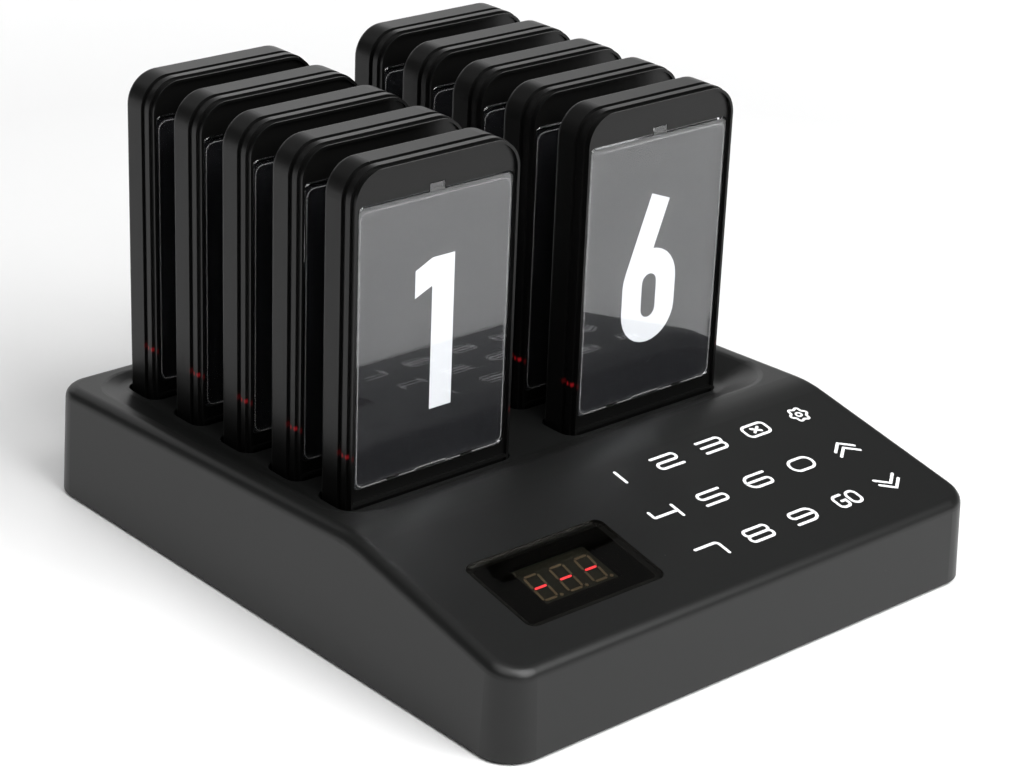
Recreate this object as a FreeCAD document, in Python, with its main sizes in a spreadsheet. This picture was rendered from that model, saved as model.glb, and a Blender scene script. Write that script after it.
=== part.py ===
"""Guest pager system: a charging base with a sloping touch keypad, and ten pagers in two rows.

Millimetres. +Z is up, the keypad faces -Y and +X is to the right of someone using it. The origin is
on the counter, under the middle of the base. A pager is drawn about the middle of its own bottom
edge and then stood in its slot. Whatever sits on or under the sloping keypad is drawn about a point
of that slope, with its own Y up the slope and its own Z out of it.
"""
import FreeCAD, Part
import Sketcher
import math
import os
import re

VECTOR = FreeCAD.Vector
COLUMNS = 2
ROWS = 5
NEAR = 0.05          # how close an edge's middle lies to the level it is looked for at
ARC_SHARE = 0.15     # how far inside its corner the middle of a corner's arc is looked for

# Driving dimensions. Each is a plain number in the sheet "Sizes".
SIZES = {
    # outside of the base
    "base_width": 190.0,
    "base_depth": 221.5,
    "base_corner": 11.0,
    "wall_draft": 2.4,
    "front_height": 27.5,
    "bend_height": 42.5,
    "bend_setback": 69.75,
    "rim_fall": 6.5,
    "bend_round": 45.0,
    "rim_flat": 0.4,
    "foot_height": 1.0,
    # its walls
    "side_wall": 2.5,
    "top_skin": 2.5,
    "cover_plate": 3.0,
    "cover_gap": 0.2,
    # dished deck that the pagers stand in
    "dish_depth": 7.5,
    "bend_rim": 7.5,
    "side_rim": 7.35,
    "back_rim": 7.15,
    "dish_margin": 2.0,
    "dish_side_flare": 9.5,
    "dish_front_flare": 14.3,
    "dish_back_flare": 5.2,
    "dish_corner": 7.0,
    "dish_floor_round": 8.0,
    "brim_round": 4.0,
    "brim_rise": 0.2,
    # pager slots
    "seat_depth": 9.5,
    "seat_gap": 0.3,
    "slot_side_gap": 2.0,
    "slot_face_gap": 0.75,
    "slot_corner": 4.5,
    "well_wall": 1.6,
    # pager casing
    "pager_width": 61.0,
    "pager_height": 112.2,
    "pager_thick": 14.5,
    "pager_corner": 10.0,
    "pager_wall": 1.6,
    "rear_round": 1.8,
    "groove_width": 1.95,
    "groove_depth": 1.0,
    "rib_width": 2.1,
    "face_groove_width": 1.7,
    "face_groove_depth": 0.75,
    "lip_thick": 0.4,
    "lip_inset": 0.45,
    "lip_width": 0.85,
    "lip_rise": 1.05,
    "ledge_height": 1.0,
    # pager window and its card pocket
    "window_side_band": 1.8,
    "window_top_band": 10.8,
    "window_level": 14.8,
    "window_plate": 1.5,
    "window_corner": 2.2,
    "window_gap": 0.15,
    "window_bevel": 0.45,
    "card_pocket": 0.4,
    "pull_width": 5.5,
    "pull_height": 2.0,
    "hook_spacing": 28.0,
    "hook_width": 4.5,
    "hook_height": 0.9,
    # pager electronics
    "circuit_side_gap": 4.0,
    "circuit_end_gap": 7.1,
    "circuit_plate": 1.0,
    "circuit_post": 4.0,
    "battery_width": 34.0,
    "battery_height": 48.0,
    "battery_gap": 0.5,
    "motor_diameter": 10.0,
    "motor_thick": 2.7,
    "motor_gap": 1.1,
    "motor_drop": 20.0,
    "light_width": 2.0,
    "light_height": 1.6,
    "light_thick": 0.9,
    "light_level": 25.7,
    # charging contacts
    "contact_inset": 15.5,
    "contact_port_width": 5.4,
    "contact_port_gap": 0.6,
    "contact_leaf": 0.4,
    "contact_margin": 1.0,
    "contact_overlap": 4.1,
    "pin_diameter": 1.5,
    "pin_barrel": 2.2,
    "pin_flange": 3.0,
    "pin_flange_plate": 1.0,
    "pin_point": 0.3,
    "pin_stroke": 3.4,
    # circuit boards and screws
    "board_plate": 1.6,
    "charge_board_width": 58.0,
    "charge_board_end": 8.7,
    "charge_board_drop": 5.6,
    "charge_board_shift": 2.0,
    "board_inset": 4.0,
    "post_diameter": 6.0,
    "board_screw": 2.4,
    "board_screw_head": 4.6,
    "board_screw_rise": 1.4,
    "board_screw_reach": 6.0,
    "pilot_spare": 1.0,
    "board_hole_gap": 0.4,
    "case_screw": 2.9,
    "case_screw_head": 5.6,
    "case_screw_rise": 1.6,
    "case_screw_length": 10.0,
    "case_hole_gap": 0.4,
    "case_head_sunk": 0.1,
    "boss_diameter": 7.0,
    "boss_inset_side": 10.5,
    "boss_inset_end": 10.5,
    # feet
    "foot_diameter": 12.0,
    "foot_recess": 0.8,
    "foot_gap": 0.2,
    "foot_inset": 24.0,
    # display behind its lens, measured along the slope
    "lens_width": 51.2,
    "lens_length": 30.15,
    "lens_plate": 1.5,
    "lens_corner": 3.0,
    "lens_gap": 0.15,
    "lens_ledge": 2.0,
    "lens_inset": 21.2,
    "lens_up": 30.8,
    "digits_width": 30.2,
    "digits_length": 18.0,
    "digits_height": 7.2,
    "digits_gap": 1.5,
    "digits_shift": 0.65,
    "digits_rise": -0.2,
    # boards behind the keypad, measured along the slope
    "touch_gap": 2.5,
    "touch_inset": 14.5,
    "touch_front": 9.0,
    "touch_back": 5.35,
    "main_width": 66.0,
    "main_inset": 15.0,
    "main_front": 8.0,
    "main_back": 3.35,
    "chip_size": 13.0,
    "chip_across": 11.0,
    "chip_up": 10.0,
    "radio_width": 28.0,
    "radio_length": 15.0,
    "radio_plate": 1.0,
    "radio_can": 2.6,
    "radio_can_inset": 1.0,
    "radio_shift": -11.0,
    "radio_rise": 18.5,
    "antenna_width": 18.0,
    "antenna_length": 12.0,
    "antenna_rise": 5.0,
    "antenna_strip": 0.5,
    "antenna_shift": 14.0,
    "buzzer_diameter": 8.0,
    "buzzer_height": 5.0,
    "buzzer_drop": 25.4,
    "ribbon_width": 12.0,
    "ribbon_plate": 0.3,
    "ribbon_tab": 6.0,
    "ribbon_drop": 8.0,
    # recessed panel in the back wall, with the power inlet and the switch
    "panel_inset": 22.0,
    "panel_width": 62.0,
    "panel_margin": 1.9,
    "panel_lift": 1.0,
    "panel_depth": 4.0,
    "outlet_spacing": 32.0,
    "outlet_gap": 0.25,
    "inlet_bore": 6.0,
    "inlet_wall": 1.0,
    "inlet_barrel": 11.0,
    "inlet_flange": 15.0,
    "inlet_pin": 2.0,
    "flange_plate": 1.2,
    "panel_gap": 0.1,
    "switch_width": 18.8,
    "switch_height": 12.8,
    "switch_bezel": 1.2,
    "pivot_depth": 1.2,
    "rocker_width": 15.2,
    "rocker_height": 10.2,
    "rocker_rise": 3.3,
    "rocker_dip": 1.5,
    "rocker_shoulder": 6.8,
    "rocker_skirt": 1.7,
    "rocker_reach": 5.2,
    "rocker_tilt": 9.0,
    "rocker_gap": 0.35,
    "rocker_pin": 2.0,
    "rocker_pin_gap": 0.05,
}

# Sizes worked out from the driving ones, kept as formulas in the sheet "Worked".
WORKED = {
    "keypad_slope": "atan((bend_height - front_height) / bend_setback)",
    "keypad_length": "bend_setback / cos(keypad_slope)",
    "back_height": "bend_height - rim_fall",
    "front_y": "-base_depth / 2",
    "back_y": "base_depth / 2",
    "bend_y": "front_y + bend_setback",
    "cover_top": "foot_height + cover_plate",
    "cavity_width": "base_width - 2 * side_wall",
    "cavity_depth": "base_depth - 2 * side_wall",
    "cavity_corner": "base_corner - side_wall",
    "skin_drop": "top_skin / cos(keypad_slope)",
    "cover_width": "cavity_width - 2 * cover_gap",
    "cover_depth": "cavity_depth - 2 * cover_gap",
    "cover_corner": "cavity_corner - cover_gap",
    # slots and the dish around them
    "slot_width": "pager_width + 2 * slot_side_gap",
    "slot_length": "pager_thick + 2 * slot_face_gap",
    "column_pitch": "base_width - 2 * (side_rim + dish_side_flare + dish_margin) - slot_width",
    "first_row": "bend_setback + bend_rim + dish_front_flare + dish_margin + slot_length / 2",
    "last_row": "base_depth - back_rim - dish_back_flare - dish_margin - slot_length / 2",
    "row_pitch": f"(last_row - first_row) / {ROWS - 1}",
    "dish_floor": "bend_height - dish_depth",
    "pager_seat": "dish_floor - seat_depth",
    "slot_floor": "pager_seat - seat_gap",
    "well_width": "slot_width + 2 * well_wall",
    "well_length": "slot_length + 2 * well_wall",
    "well_corner": "slot_corner + well_wall",
    "first_x": "-column_pitch / 2",
    "first_y": "front_y + first_row",
    "last_y": f"first_y + {ROWS - 1} * row_pitch",
    "dish_width": "column_pitch + slot_width + 2 * dish_margin",
    "dish_length": "last_y - first_y + slot_length + 2 * dish_margin",
    "dish_middle": "(first_y + last_y) / 2",
    "rim_slope": "atan((bend_height - back_height) / (base_depth - bend_setback))",
    "wall_lean": "(bend_height - foot_height) * tan(wall_draft)",
    "brim_reach": "brim_round * tan(atan(dish_depth / dish_side_flare) / 2)",
    "rim_round": "(side_rim - wall_lean - brim_reach - rim_flat) * tan(45 + wall_draft / 2)",
    "brim_width": "dish_width + 2 * dish_side_flare",
    "brim_length": "dish_length + dish_front_flare + dish_back_flare",
    "brim_middle": "dish_middle + (dish_back_flare - dish_front_flare) / 2",
    "brim_corner": "dish_corner + dish_side_flare",
    "brim_height": "bend_height - (brim_middle - bend_y) * tan(rim_slope) + brim_rise",
    # layers of a pager, from its back to its front
    "rear_depth": "pager_thick - groove_width - rib_width - face_groove_width - lip_thick",
    "pager_back": "pager_thick / 2",
    "groove_back": "pager_back - rear_depth",
    "rib_back": "groove_back - groove_width",
    "rib_front": "rib_back - rib_width",
    "lip_back": "rib_front - face_groove_width",
    "pager_front": "-pager_thick / 2",
    "pager_face": "pager_front + lip_rise",
    "pager_middle": "pager_height / 2",
    "neck_width": "pager_width - 2 * groove_depth",
    "neck_height": "pager_height - 2 * groove_depth",
    "neck_corner": "pager_corner - groove_depth",
    "face_neck_width": "pager_width - 2 * face_groove_depth",
    "face_neck_height": "pager_height - 2 * face_groove_depth",
    "face_neck_corner": "pager_corner - face_groove_depth",
    "lip_outer_width": "pager_width - 2 * lip_inset",
    "lip_outer_height": "pager_height - 2 * lip_inset",
    "lip_outer_corner": "pager_corner - lip_inset",
    "lip_inner_width": "lip_outer_width - 2 * lip_width",
    "lip_inner_height": "lip_outer_height - 2 * lip_width",
    "lip_inner_corner": "lip_outer_corner - lip_width",
    "rear_hollow_width": "pager_width - 2 * pager_wall",
    "rear_hollow_height": "pager_height - 2 * pager_wall",
    "rear_hollow_corner": "pager_corner - pager_wall",
    "rear_floor": "pager_back - pager_wall",
    "front_hollow_width": "neck_width - 2 * pager_wall",
    "front_hollow_height": "neck_height - 2 * pager_wall",
    "front_hollow_corner": "neck_corner - pager_wall",
    "window_back": "pager_face + window_plate",
    "pocket_floor": "window_back + card_pocket",
    "front_floor": "pocket_floor + pager_wall - card_pocket",
    "window_width": "pager_width - 2 * window_side_band",
    "window_height": "pager_height - window_level - window_top_band",
    "window_middle": "window_level + window_height / 2",
    "recess_width": "window_width + 2 * window_gap",
    "recess_height": "window_height + 2 * window_gap",
    "recess_corner": "window_corner + window_gap",
    "circuit_width": "pager_width - 2 * circuit_side_gap",
    "circuit_height": "pager_height - 2 * circuit_end_gap",
    "circuit_front": "front_floor + motor_gap + motor_thick",
    "circuit_back": "circuit_front + circuit_plate",
    "post_across": "circuit_width / 2 - circuit_post",
    "post_rise": "circuit_height / 2 - circuit_post",
    "battery_thick": "rear_floor - circuit_back - battery_gap",
    "motor_level": "pager_height - motor_drop",
    "contact_spacing": "pager_width - 2 * contact_inset",
    "contact_y": "(rear_floor + circuit_back) / 2",
    "contact_port_depth": "rear_floor - circuit_back - 2 * contact_port_gap",
    "contact_leg": "circuit_end_gap - pager_wall + contact_overlap",
    # charging boards
    "charge_board_top": "slot_floor - well_wall - charge_board_drop",
    "charge_board_level": "charge_board_top - board_plate",
    "charge_board_length": "last_y - first_y + 2 * charge_board_end",
    "charge_middle": "dish_middle - charge_board_shift",
    "hole_across": "charge_board_width / 2 - board_inset",
    "hole_along": "charge_board_length / 2 - board_inset",
    "pin_tip": "pager_seat + pager_wall - seat_gap",
    # case screws and feet
    "boss_x": "base_width / 2 - boss_inset_side",
    "boss_y": "base_depth / 2 - boss_inset_end",
    "head_seat": "foot_height + case_screw_rise + case_head_sunk",
    "foot_x": "base_width / 2 - foot_inset",
    "foot_y": "base_depth / 2 - foot_inset",
    "foot_top": "foot_height + foot_recess",
    # pieces under the slope, by their height out of it
    "lens_across": "(lens_width - base_width) / 2 + lens_inset",
    "digits_depth": "lens_plate + digits_gap",
    "digits_across": "lens_across + digits_shift",
    "digits_up": "lens_up + digits_rise",
    "touch_length": "keypad_length - touch_front - touch_back",
    "touch_width": "base_width - main_inset - main_width - touch_gap - touch_inset",
    "touch_across": "(base_width - touch_width) / 2 - touch_inset",
    "touch_up": "touch_front + touch_length / 2",
    "touch_top": "-top_skin",
    "main_length": "keypad_length - main_front - main_back",
    "main_across": "(main_width - base_width) / 2 + main_inset",
    "main_up": "main_front + main_length / 2",
    "radio_across": "main_across + radio_shift",
    "radio_up": "main_up + radio_rise",
    "antenna_across": "main_across + antenna_shift",
    "buzzer_up": "main_up - buzzer_drop",
    "ribbon_up": "main_up - ribbon_drop",
    "main_top": "-digits_depth - digits_height",
    "main_post_across": "main_width / 2 - board_inset",
    "main_post_up": "main_length / 2 - board_inset",
    "opening_width": "lens_width - 2 * lens_ledge",
    "opening_length": "lens_length - 2 * lens_ledge",
    "opening_corner": "lens_corner - lens_ledge",
    "lens_seat_width": "lens_width + 2 * lens_gap",
    "lens_seat_length": "lens_length + 2 * lens_gap",
    "lens_seat_corner": "lens_corner + lens_gap",
    "ribbon_left": "main_across + main_width / 2 - ribbon_tab",
    "ribbon_bend": "touch_across - touch_width / 2",
    # back panel, with the inlet and the switch beside each other
    "panel_height": "switch_height + 2 * (switch_bezel + panel_margin)",
    "panel_across": "(panel_width - base_width) / 2 + panel_inset",
    "outlet_height": "cover_plate + panel_lift + side_wall + panel_height / 2",
    "outlet_lean": "(outlet_height + switch_height / 2) * tan(wall_draft)",
    "well_back": "last_row + slot_length / 2 + well_wall",
    "outlet_reach": "base_depth - well_back - panel_depth - outlet_lean - outlet_gap",
    "inlet_depth": "outlet_reach + flange_plate - inlet_wall",
    "inlet_across": "panel_across + outlet_spacing / 2",
    "switch_across": "panel_across - outlet_spacing / 2",
    # rocker and the pocket it turns in
    "rocker_sweep": "rocker_width * cos(rocker_tilt) + 2 * rocker_rise * sin(rocker_tilt)",
    "pocket_width": "rocker_sweep + 2 * rocker_gap",
    "pocket_height": "rocker_height + 2 * rocker_gap",
    "pivot_y": "-pivot_depth",
}

WORD = re.compile(r"[a-z][a-z_0-9]*")
DOC = FreeCAD.newDocument("GuestPagerSystem")
NODES = []


# ---------------------------------------------------------------- sheets and formulas

def formula(text):
    """Spell a formula made of size names the way an object's expression needs it."""
    def spell(match):
        word = match.group()
        if word in SIZES:
            return "Sizes." + word
        return "Worked." + word if word in WORKED else word
    return WORD.sub(spell, text)


def make_sheets():
    """Put the driving sizes in one sheet and the worked ones, as formulas, in another."""
    sizes = DOC.addObject("Spreadsheet::Sheet", "Sizes")
    for row, (alias, value) in enumerate(SIZES.items(), 1):
        sizes.set(f"A{row}", alias)
        sizes.set(f"B{row}", str(value))
        sizes.setAlias(f"B{row}", alias)
    worked = DOC.addObject("Spreadsheet::Sheet", "Worked")
    for row, (alias, text) in enumerate(WORKED.items(), 1):
        worked.set(f"A{row}", alias)
        worked.set(f"B{row}", "=" + formula(text).replace("Worked.", ""))
        worked.setAlias(f"B{row}", alias)
    DOC.recompute()
    return sizes, worked


SHEET, WORKED_SHEET = make_sheets()


def number(name):
    """The present value of one named size."""
    sheet = SHEET if name in SIZES else WORKED_SHEET
    value = getattr(sheet, name)
    return float(getattr(value, "Value", value))


def bind(thing, **formulas):
    """Tie properties to formulas; a double underscore in a keyword stands for a dot."""
    for prop, text in formulas.items():
        thing.setExpression(prop.replace("__", "."), formula(text))


# ---------------------------------------------------------------- bodies, sketches and features

def make_body(label, node=True):
    """A PartDesign body; with node=True it is one of the pieces that are written out."""
    body = DOC.addObject("PartDesign::Body", label)
    body.Label = label
    if node:
        NODES.append(body)
    return body


def sketch_on(body, role, level="0", across="0", up="0"):
    """An empty sketch parallel to one of the body's own planes, at a level along the third axis."""
    sketch = body.newObject("Sketcher::SketchObject", "Outline")
    plane = next(item for item in body.Origin.OriginFeatures if item.Role == role)
    sketch.AttachmentSupport = (plane, "")
    sketch.MapMode = "FlatFace"
    height = f"-({level})" if role == "XZ_Plane" else level
    bind(sketch, AttachmentOffset__Base__x=across, AttachmentOffset__Base__y=up,
         AttachmentOffset__Base__z=height)
    return sketch


def value_of(sketch, text):
    """The present value of a formula."""
    value = sketch.evalExpression(formula(text))
    return float(getattr(value, "Value", value))


def dimension(sketch, kind, *where, text):
    """Add one dimension to a sketch, at its present value, and tie it to a formula."""
    index = sketch.addConstraint(Sketcher.Constraint(kind, *where, value_of(sketch, text)))
    sketch.setExpression(f"Constraints[{index}]", formula(text))


def rounded_rectangle(sketch, width, height, radius):
    """A rectangle about the sketch's origin with round corners; all three sizes are names."""
    half_w, half_h, r = number(width) / 2, number(height) / 2, number(radius)
    start = VECTOR(-half_w + r, -half_h, 0)
    x, y = half_w - r, half_h - r
    for turn, (x, y) in enumerate([(x, -y), (x, y), (-x, y), (-x, -y)]):
        angle = (turn - 1) * math.pi / 2
        entry = VECTOR(x + r * math.cos(angle), y + r * math.sin(angle), 0)
        sketch.addGeometry(Part.LineSegment(start, entry), False)
        arc = Part.ArcOfCircle(Part.Circle(VECTOR(x, y, 0), VECTOR(0, 0, 1), r), angle, angle + math.pi / 2)
        sketch.addGeometry(arc, False)
        angle += math.pi / 2
        start = VECTOR(x + r * math.cos(angle), y + r * math.sin(angle), 0)
    rule = Sketcher.Constraint
    rules = [rule("Tangent", k, 2, (k + 1) % 8, 1) for k in range(8)]
    rules += [rule("Horizontal", 0), rule("Vertical", 2), rule("Horizontal", 4), rule("Vertical", 6)]
    rules += [rule("Equal", 1, k) for k in (3, 5, 7)]
    rules.append(rule("Symmetric", 1, 3, 5, 3, -1, 1))
    sketch.addConstraint(rules)
    dimension(sketch, "Radius", 1, text=radius)
    dimension(sketch, "DistanceX", 6, 1, 2, 2, text=width)
    dimension(sketch, "DistanceY", 0, 1, 4, 1, text=height)
    return sketch


def polygon(sketch, points):
    """A closed outline through points whose coordinates are formulas."""
    count = len(points)
    start = [VECTOR(value_of(sketch, x), value_of(sketch, y), 0) for x, y in points]
    for k in range(count):
        sketch.addGeometry(Part.LineSegment(start[k], start[(k + 1) % count]), False)
    for k in range(count):
        sketch.addConstraint(Sketcher.Constraint("Coincident", k, 2, (k + 1) % count, 1))
    for k, (x, y) in enumerate(points):
        dimension(sketch, "DistanceX", -1, 1, k, 1, text=x)
        dimension(sketch, "DistanceY", -1, 1, k, 1, text=y)
    return sketch


def rectangle(sketch, width, height):
    """A sharp rectangle about the sketch's origin."""
    x, y = f"({width}) / 2", f"({height}) / 2"
    return polygon(sketch, [(f"-{x}", f"-{y}"), (x, f"-{y}"), (x, y), (f"-{x}", y)])


def circles(sketch, diameter, centres):
    """Equal circles whose centres are pairs of formulas."""
    for x, y in centres:
        middle = VECTOR(value_of(sketch, x), value_of(sketch, y), 0)
        radius = value_of(sketch, diameter) / 2
        ring = sketch.addGeometry(Part.Circle(middle, VECTOR(0, 0, 1), radius), False)
        dimension(sketch, "Diameter", ring, text=diameter)
        dimension(sketch, "DistanceX", -1, 1, ring, 3, text=x)
        dimension(sketch, "DistanceY", -1, 1, ring, 3, text=y)
    return sketch


def corners(x, y):
    """The four mirror images of one point."""
    return [(f"{a}({x})", f"{b}({y})") for a in ("-", "") for b in ("-", "")]


def pad(body, outline, length, back=False, draft=None, kind="PartDesign::Pad"):
    """Pull an outline along its plane's normal, or against it with back=True."""
    feature = body.newObject(kind, "Pull")
    feature.Profile = outline
    feature.Reversed = back
    bind(feature, Length=length)
    if draft:
        bind(feature, TaperAngle=draft)
    return feature


def pocket(body, outline, depth, back=False):
    """Cut an outline against its plane's normal, or along it with back=True."""
    return pad(body, outline, depth, back, kind="PartDesign::Pocket")


def find_edges(feature, wanted):
    """Names of the feature's edges whose middle point passes a test."""
    DOC.recompute()
    return [f"Edge{k}" for k, edge in enumerate(feature.Shape.Edges, 1) if wanted(edge, edge.CenterOfMass)]


def round_edges(body, feature, radius, wanted, kind="PartDesign::Fillet"):
    """Round (or chamfer) the edges of a feature that pass a test."""
    names = find_edges(feature, wanted)
    made = body.newObject(kind, "Round")
    made.Base = (feature, names)
    bind(made, **{"Radius" if kind.endswith("Fillet") else "Size": radius})
    return made


def grid(body, feature, step_x, count_x, step_y, count_y):
    """Repeat one feature along X and Y."""
    made = body.newObject("PartDesign::LinearPattern", "Grid")
    made.Originals = [feature]
    axes = {item.Role: item for item in body.Origin.OriginFeatures}
    made.Direction = (axes["X_Axis"], [""])
    made.Mode = "Spacing"
    made.Occurrences = count_x
    bind(made, Offset=step_x)
    made.Direction2 = (axes["Y_Axis"], [""])
    made.Mode2 = "Spacing"
    made.Occurrences2 = count_y
    made.Spacings2 = [-1.0] * (count_y - 1)   # -1 stands for the common spacing
    bind(made, Offset2=step_y)
    body.Tip = made
    return made


def put(thing, x="0", y="0", z="0"):
    """Place a piece at a point of the base."""
    bind(thing, Placement__Base__x=x, Placement__Base__y=y, Placement__Base__z=z)
    return thing


def turn_about_x(sign=1):
    """A placement whose angle a formula then sets; it starts at one degree, which keeps the axis."""
    return FreeCAD.Placement(VECTOR(), FreeCAD.Rotation(VECTOR(sign, 0, 0), 1))


def put_on_slope(thing, across, up, out="0"):
    """Place a piece on the keypad slope: across it, up it and out of it."""
    thing.Placement = turn_about_x()
    bind(thing, Placement__Rotation__Angle="keypad_slope")
    along, rise = "cos(keypad_slope)", "sin(keypad_slope)"
    return put(thing, across, f"front_y + ({up}) * {along} - ({out}) * {rise}",
               f"front_height + ({up}) * {rise} + ({out}) * {along}")


def put_on_back(thing, across, up, out="-panel_depth"):
    """Place a piece on the panel sunk in the back wall: its own Z up the wall, its own Y out of it."""
    thing.Placement = turn_about_x()
    bind(thing, Placement__Rotation__Angle="wall_draft")
    along, lean = "cos(wall_draft)", "sin(wall_draft)"
    return put(thing, across, f"back_y - ({up}) * {lean} + ({out}) * {along}",
               f"foot_height + ({up}) * {along} + ({out}) * {lean}")


def fuse(label, pieces):
    """One solid of several."""
    made = DOC.addObject("Part::MultiFuse", label)
    made.Shapes = pieces
    return made


def cut(label, base, tool):
    """One solid less another."""
    made = DOC.addObject("Part::Cut", label)
    made.Base = base
    made.Tool = tool
    return made


# ---------------------------------------------------------------- the base's casing

def make_hull(label, width, depth, corner, drop, start):
    """Drafted block under the two roof planes: the keypad slope and the rim that falls to the back."""
    body = make_body(label, node=False)
    plan = rounded_rectangle(sketch_on(body, "XY_Plane", level=start), width, depth, corner)
    pad(body, plan, "bend_height", draft="-wall_draft")
    roof = polygon(sketch_on(body, "YZ_Plane"), [
        ("front_y", f"front_height - {drop}"),
        ("bend_y", f"bend_height - {drop}"),
        ("back_y", f"back_height - {drop}"),
        ("back_y", "2 * bend_height"),
        ("front_y", "2 * bend_height"),
    ])
    above = pocket(body, roof, "2 * base_width")
    above.Midplane = True
    return body, above


def flare_dish(body, drop, kind):
    """A level rounded floor that flares out and up to a brim just above the rim's sloping plane."""
    floor = rounded_rectangle(sketch_on(body, "XY_Plane", f"dish_floor - {drop}", up="dish_middle"),
                              "dish_width", "dish_length", "dish_corner")
    brim = sketch_on(body, "XY_Plane", f"brim_height - {drop}", up="brim_middle")
    brim.AttachmentOffset = turn_about_x(-1)
    bind(brim, AttachmentOffset__Rotation__Angle="rim_slope")
    rounded_rectangle(brim, "brim_width", "brim_length", "brim_corner")
    loft = body.newObject(kind, "Flare")
    loft.Profile = floor
    loft.Sections = [brim]
    loft.Ruled = True
    return loft


def shape_roof(body, roof):
    """Soften the bend across the roof, sink the dish into it and round every edge it leaves."""
    bend_y, low = number("bend_y"), number("front_height") - number("rim_round")
    bend = round_edges(body, roof, "bend_round",
                       lambda edge, mid: abs(mid.y - bend_y) < NEAR and abs(mid.x) < NEAR and mid.z > low)
    dish = flare_dish(body, "0", "PartDesign::SubtractiveLoft")
    level = number("dish_floor")
    floor = round_edges(body, dish, "dish_floor_round", lambda edge, mid: abs(mid.z - level) < NEAR)
    brim_half = number("brim_length") / 2
    fall = math.tan(math.radians(number("rim_slope")))

    def on_brim(edge, mid):
        rim = number("bend_height") - (mid.y - bend_y) * fall
        return (abs(mid.z - rim) < NEAR and abs(mid.y - number("brim_middle")) < brim_half
                and abs(mid.x) < number("brim_width") / 2)

    def on_wall(edge, mid):
        """The middle of a corner's arc lies a little inside the wall, by a share of the corner."""
        corner = number("base_corner")
        inset = (mid.z - number("foot_height")) * math.tan(math.radians(number("wall_draft")))
        across = max(abs(mid.x) - number("base_width") / 2 + corner, 0)
        along = max(abs(mid.y) - number("base_depth") / 2 + corner, 0)
        return mid.z > low and math.hypot(across, along) - corner + inset > -ARC_SHARE * corner

    brim = round_edges(body, floor, "brim_round", on_brim)
    return round_edges(body, brim, "rim_round", on_wall)


def make_slots(label, width, length, corner, floor, height):
    """One upright block for each slot, all alike."""
    body = make_body(label, node=False)
    place = sketch_on(body, "XY_Plane", floor, "first_x", "first_y")
    block = pad(body, rounded_rectangle(place, width, length, corner), height)
    grid(body, block, "column_pitch", COLUMNS, "row_pitch", ROWS)
    return body


def make_contact_ports(side):
    """Holes in the well floors that the charging pins rise through, on one side of the slots."""
    body = make_body(f"contact_ports_{side}", node=False)
    sign = "-" if side == "left" else "+"
    place = sketch_on(body, "XY_Plane", "slot_floor + well_wall", f"first_x {sign} contact_spacing / 2",
                      "first_y + contact_y")
    port = pad(body, rectangle(place, "contact_port_width", "contact_port_depth"), "3 * well_wall", back=True)
    grid(body, port, "column_pitch", COLUMNS, "row_pitch", ROWS)
    return body


def make_columns(label, diameter, centres, start, length):
    """Upright round columns: bosses, or the holes in them."""
    body = make_body(label, node=False)
    pad(body, circles(sketch_on(body, "XY_Plane", start), diameter, centres), length)
    return body


def case_screw_places():
    """Six screws: the four corners and the middle of each side."""
    return corners("boss_x", "boss_y") + [("-boss_x", "0"), ("boss_x", "0")]


def main_post_places():
    return corners("main_post_across", "main_post_up")


def make_display_opening():
    """Seat for the lens and the smaller hole below it."""
    body = make_body("display_opening", node=False)
    seat = rounded_rectangle(sketch_on(body, "XY_Plane", "-lens_plate"),
                             "lens_seat_width", "lens_seat_length", "lens_seat_corner")
    pad(body, seat, "2 * lens_plate")
    hole = rounded_rectangle(sketch_on(body, "XY_Plane", "-2 * top_skin"),
                             "opening_width", "opening_length", "opening_corner")
    pad(body, hole, "2 * top_skin")
    return put_on_slope(body, "lens_across", "lens_up")


def make_panel_block(label, margin, outer, inner):
    """Block of the recessed back panel, from one level of the wall in to another."""
    body = make_body(label, node=False)
    outline = rectangle(sketch_on(body, "XZ_Plane", outer),
                        f"panel_width + 2 * {margin}", f"panel_height + 2 * {margin}")
    pad(body, outline, f"({outer}) - ({inner})")
    return put_on_back(body, "panel_across", "outlet_height", "0")


def make_back_openings():
    """The sunken panel's room, and the holes in it for the power inlet and the switch."""
    room = make_panel_block("panel_room", "0", "side_wall", "-panel_depth")
    inlet = make_body("inlet_opening", node=False)
    ring = circles(sketch_on(inlet, "XZ_Plane", "side_wall"), "inlet_barrel + 2 * panel_gap", [("0", "0")])
    pad(inlet, ring, "4 * side_wall")
    switch = make_body("switch_opening", node=False)
    frame = rectangle(sketch_on(switch, "XZ_Plane", "side_wall"),
                      "switch_width + 2 * panel_gap", "switch_height + 2 * panel_gap")
    pad(switch, frame, "4 * side_wall")
    return [
        room,
        put_on_back(inlet, "inlet_across", "outlet_height"),
        put_on_back(switch, "switch_across", "outlet_height"),
    ]


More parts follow.
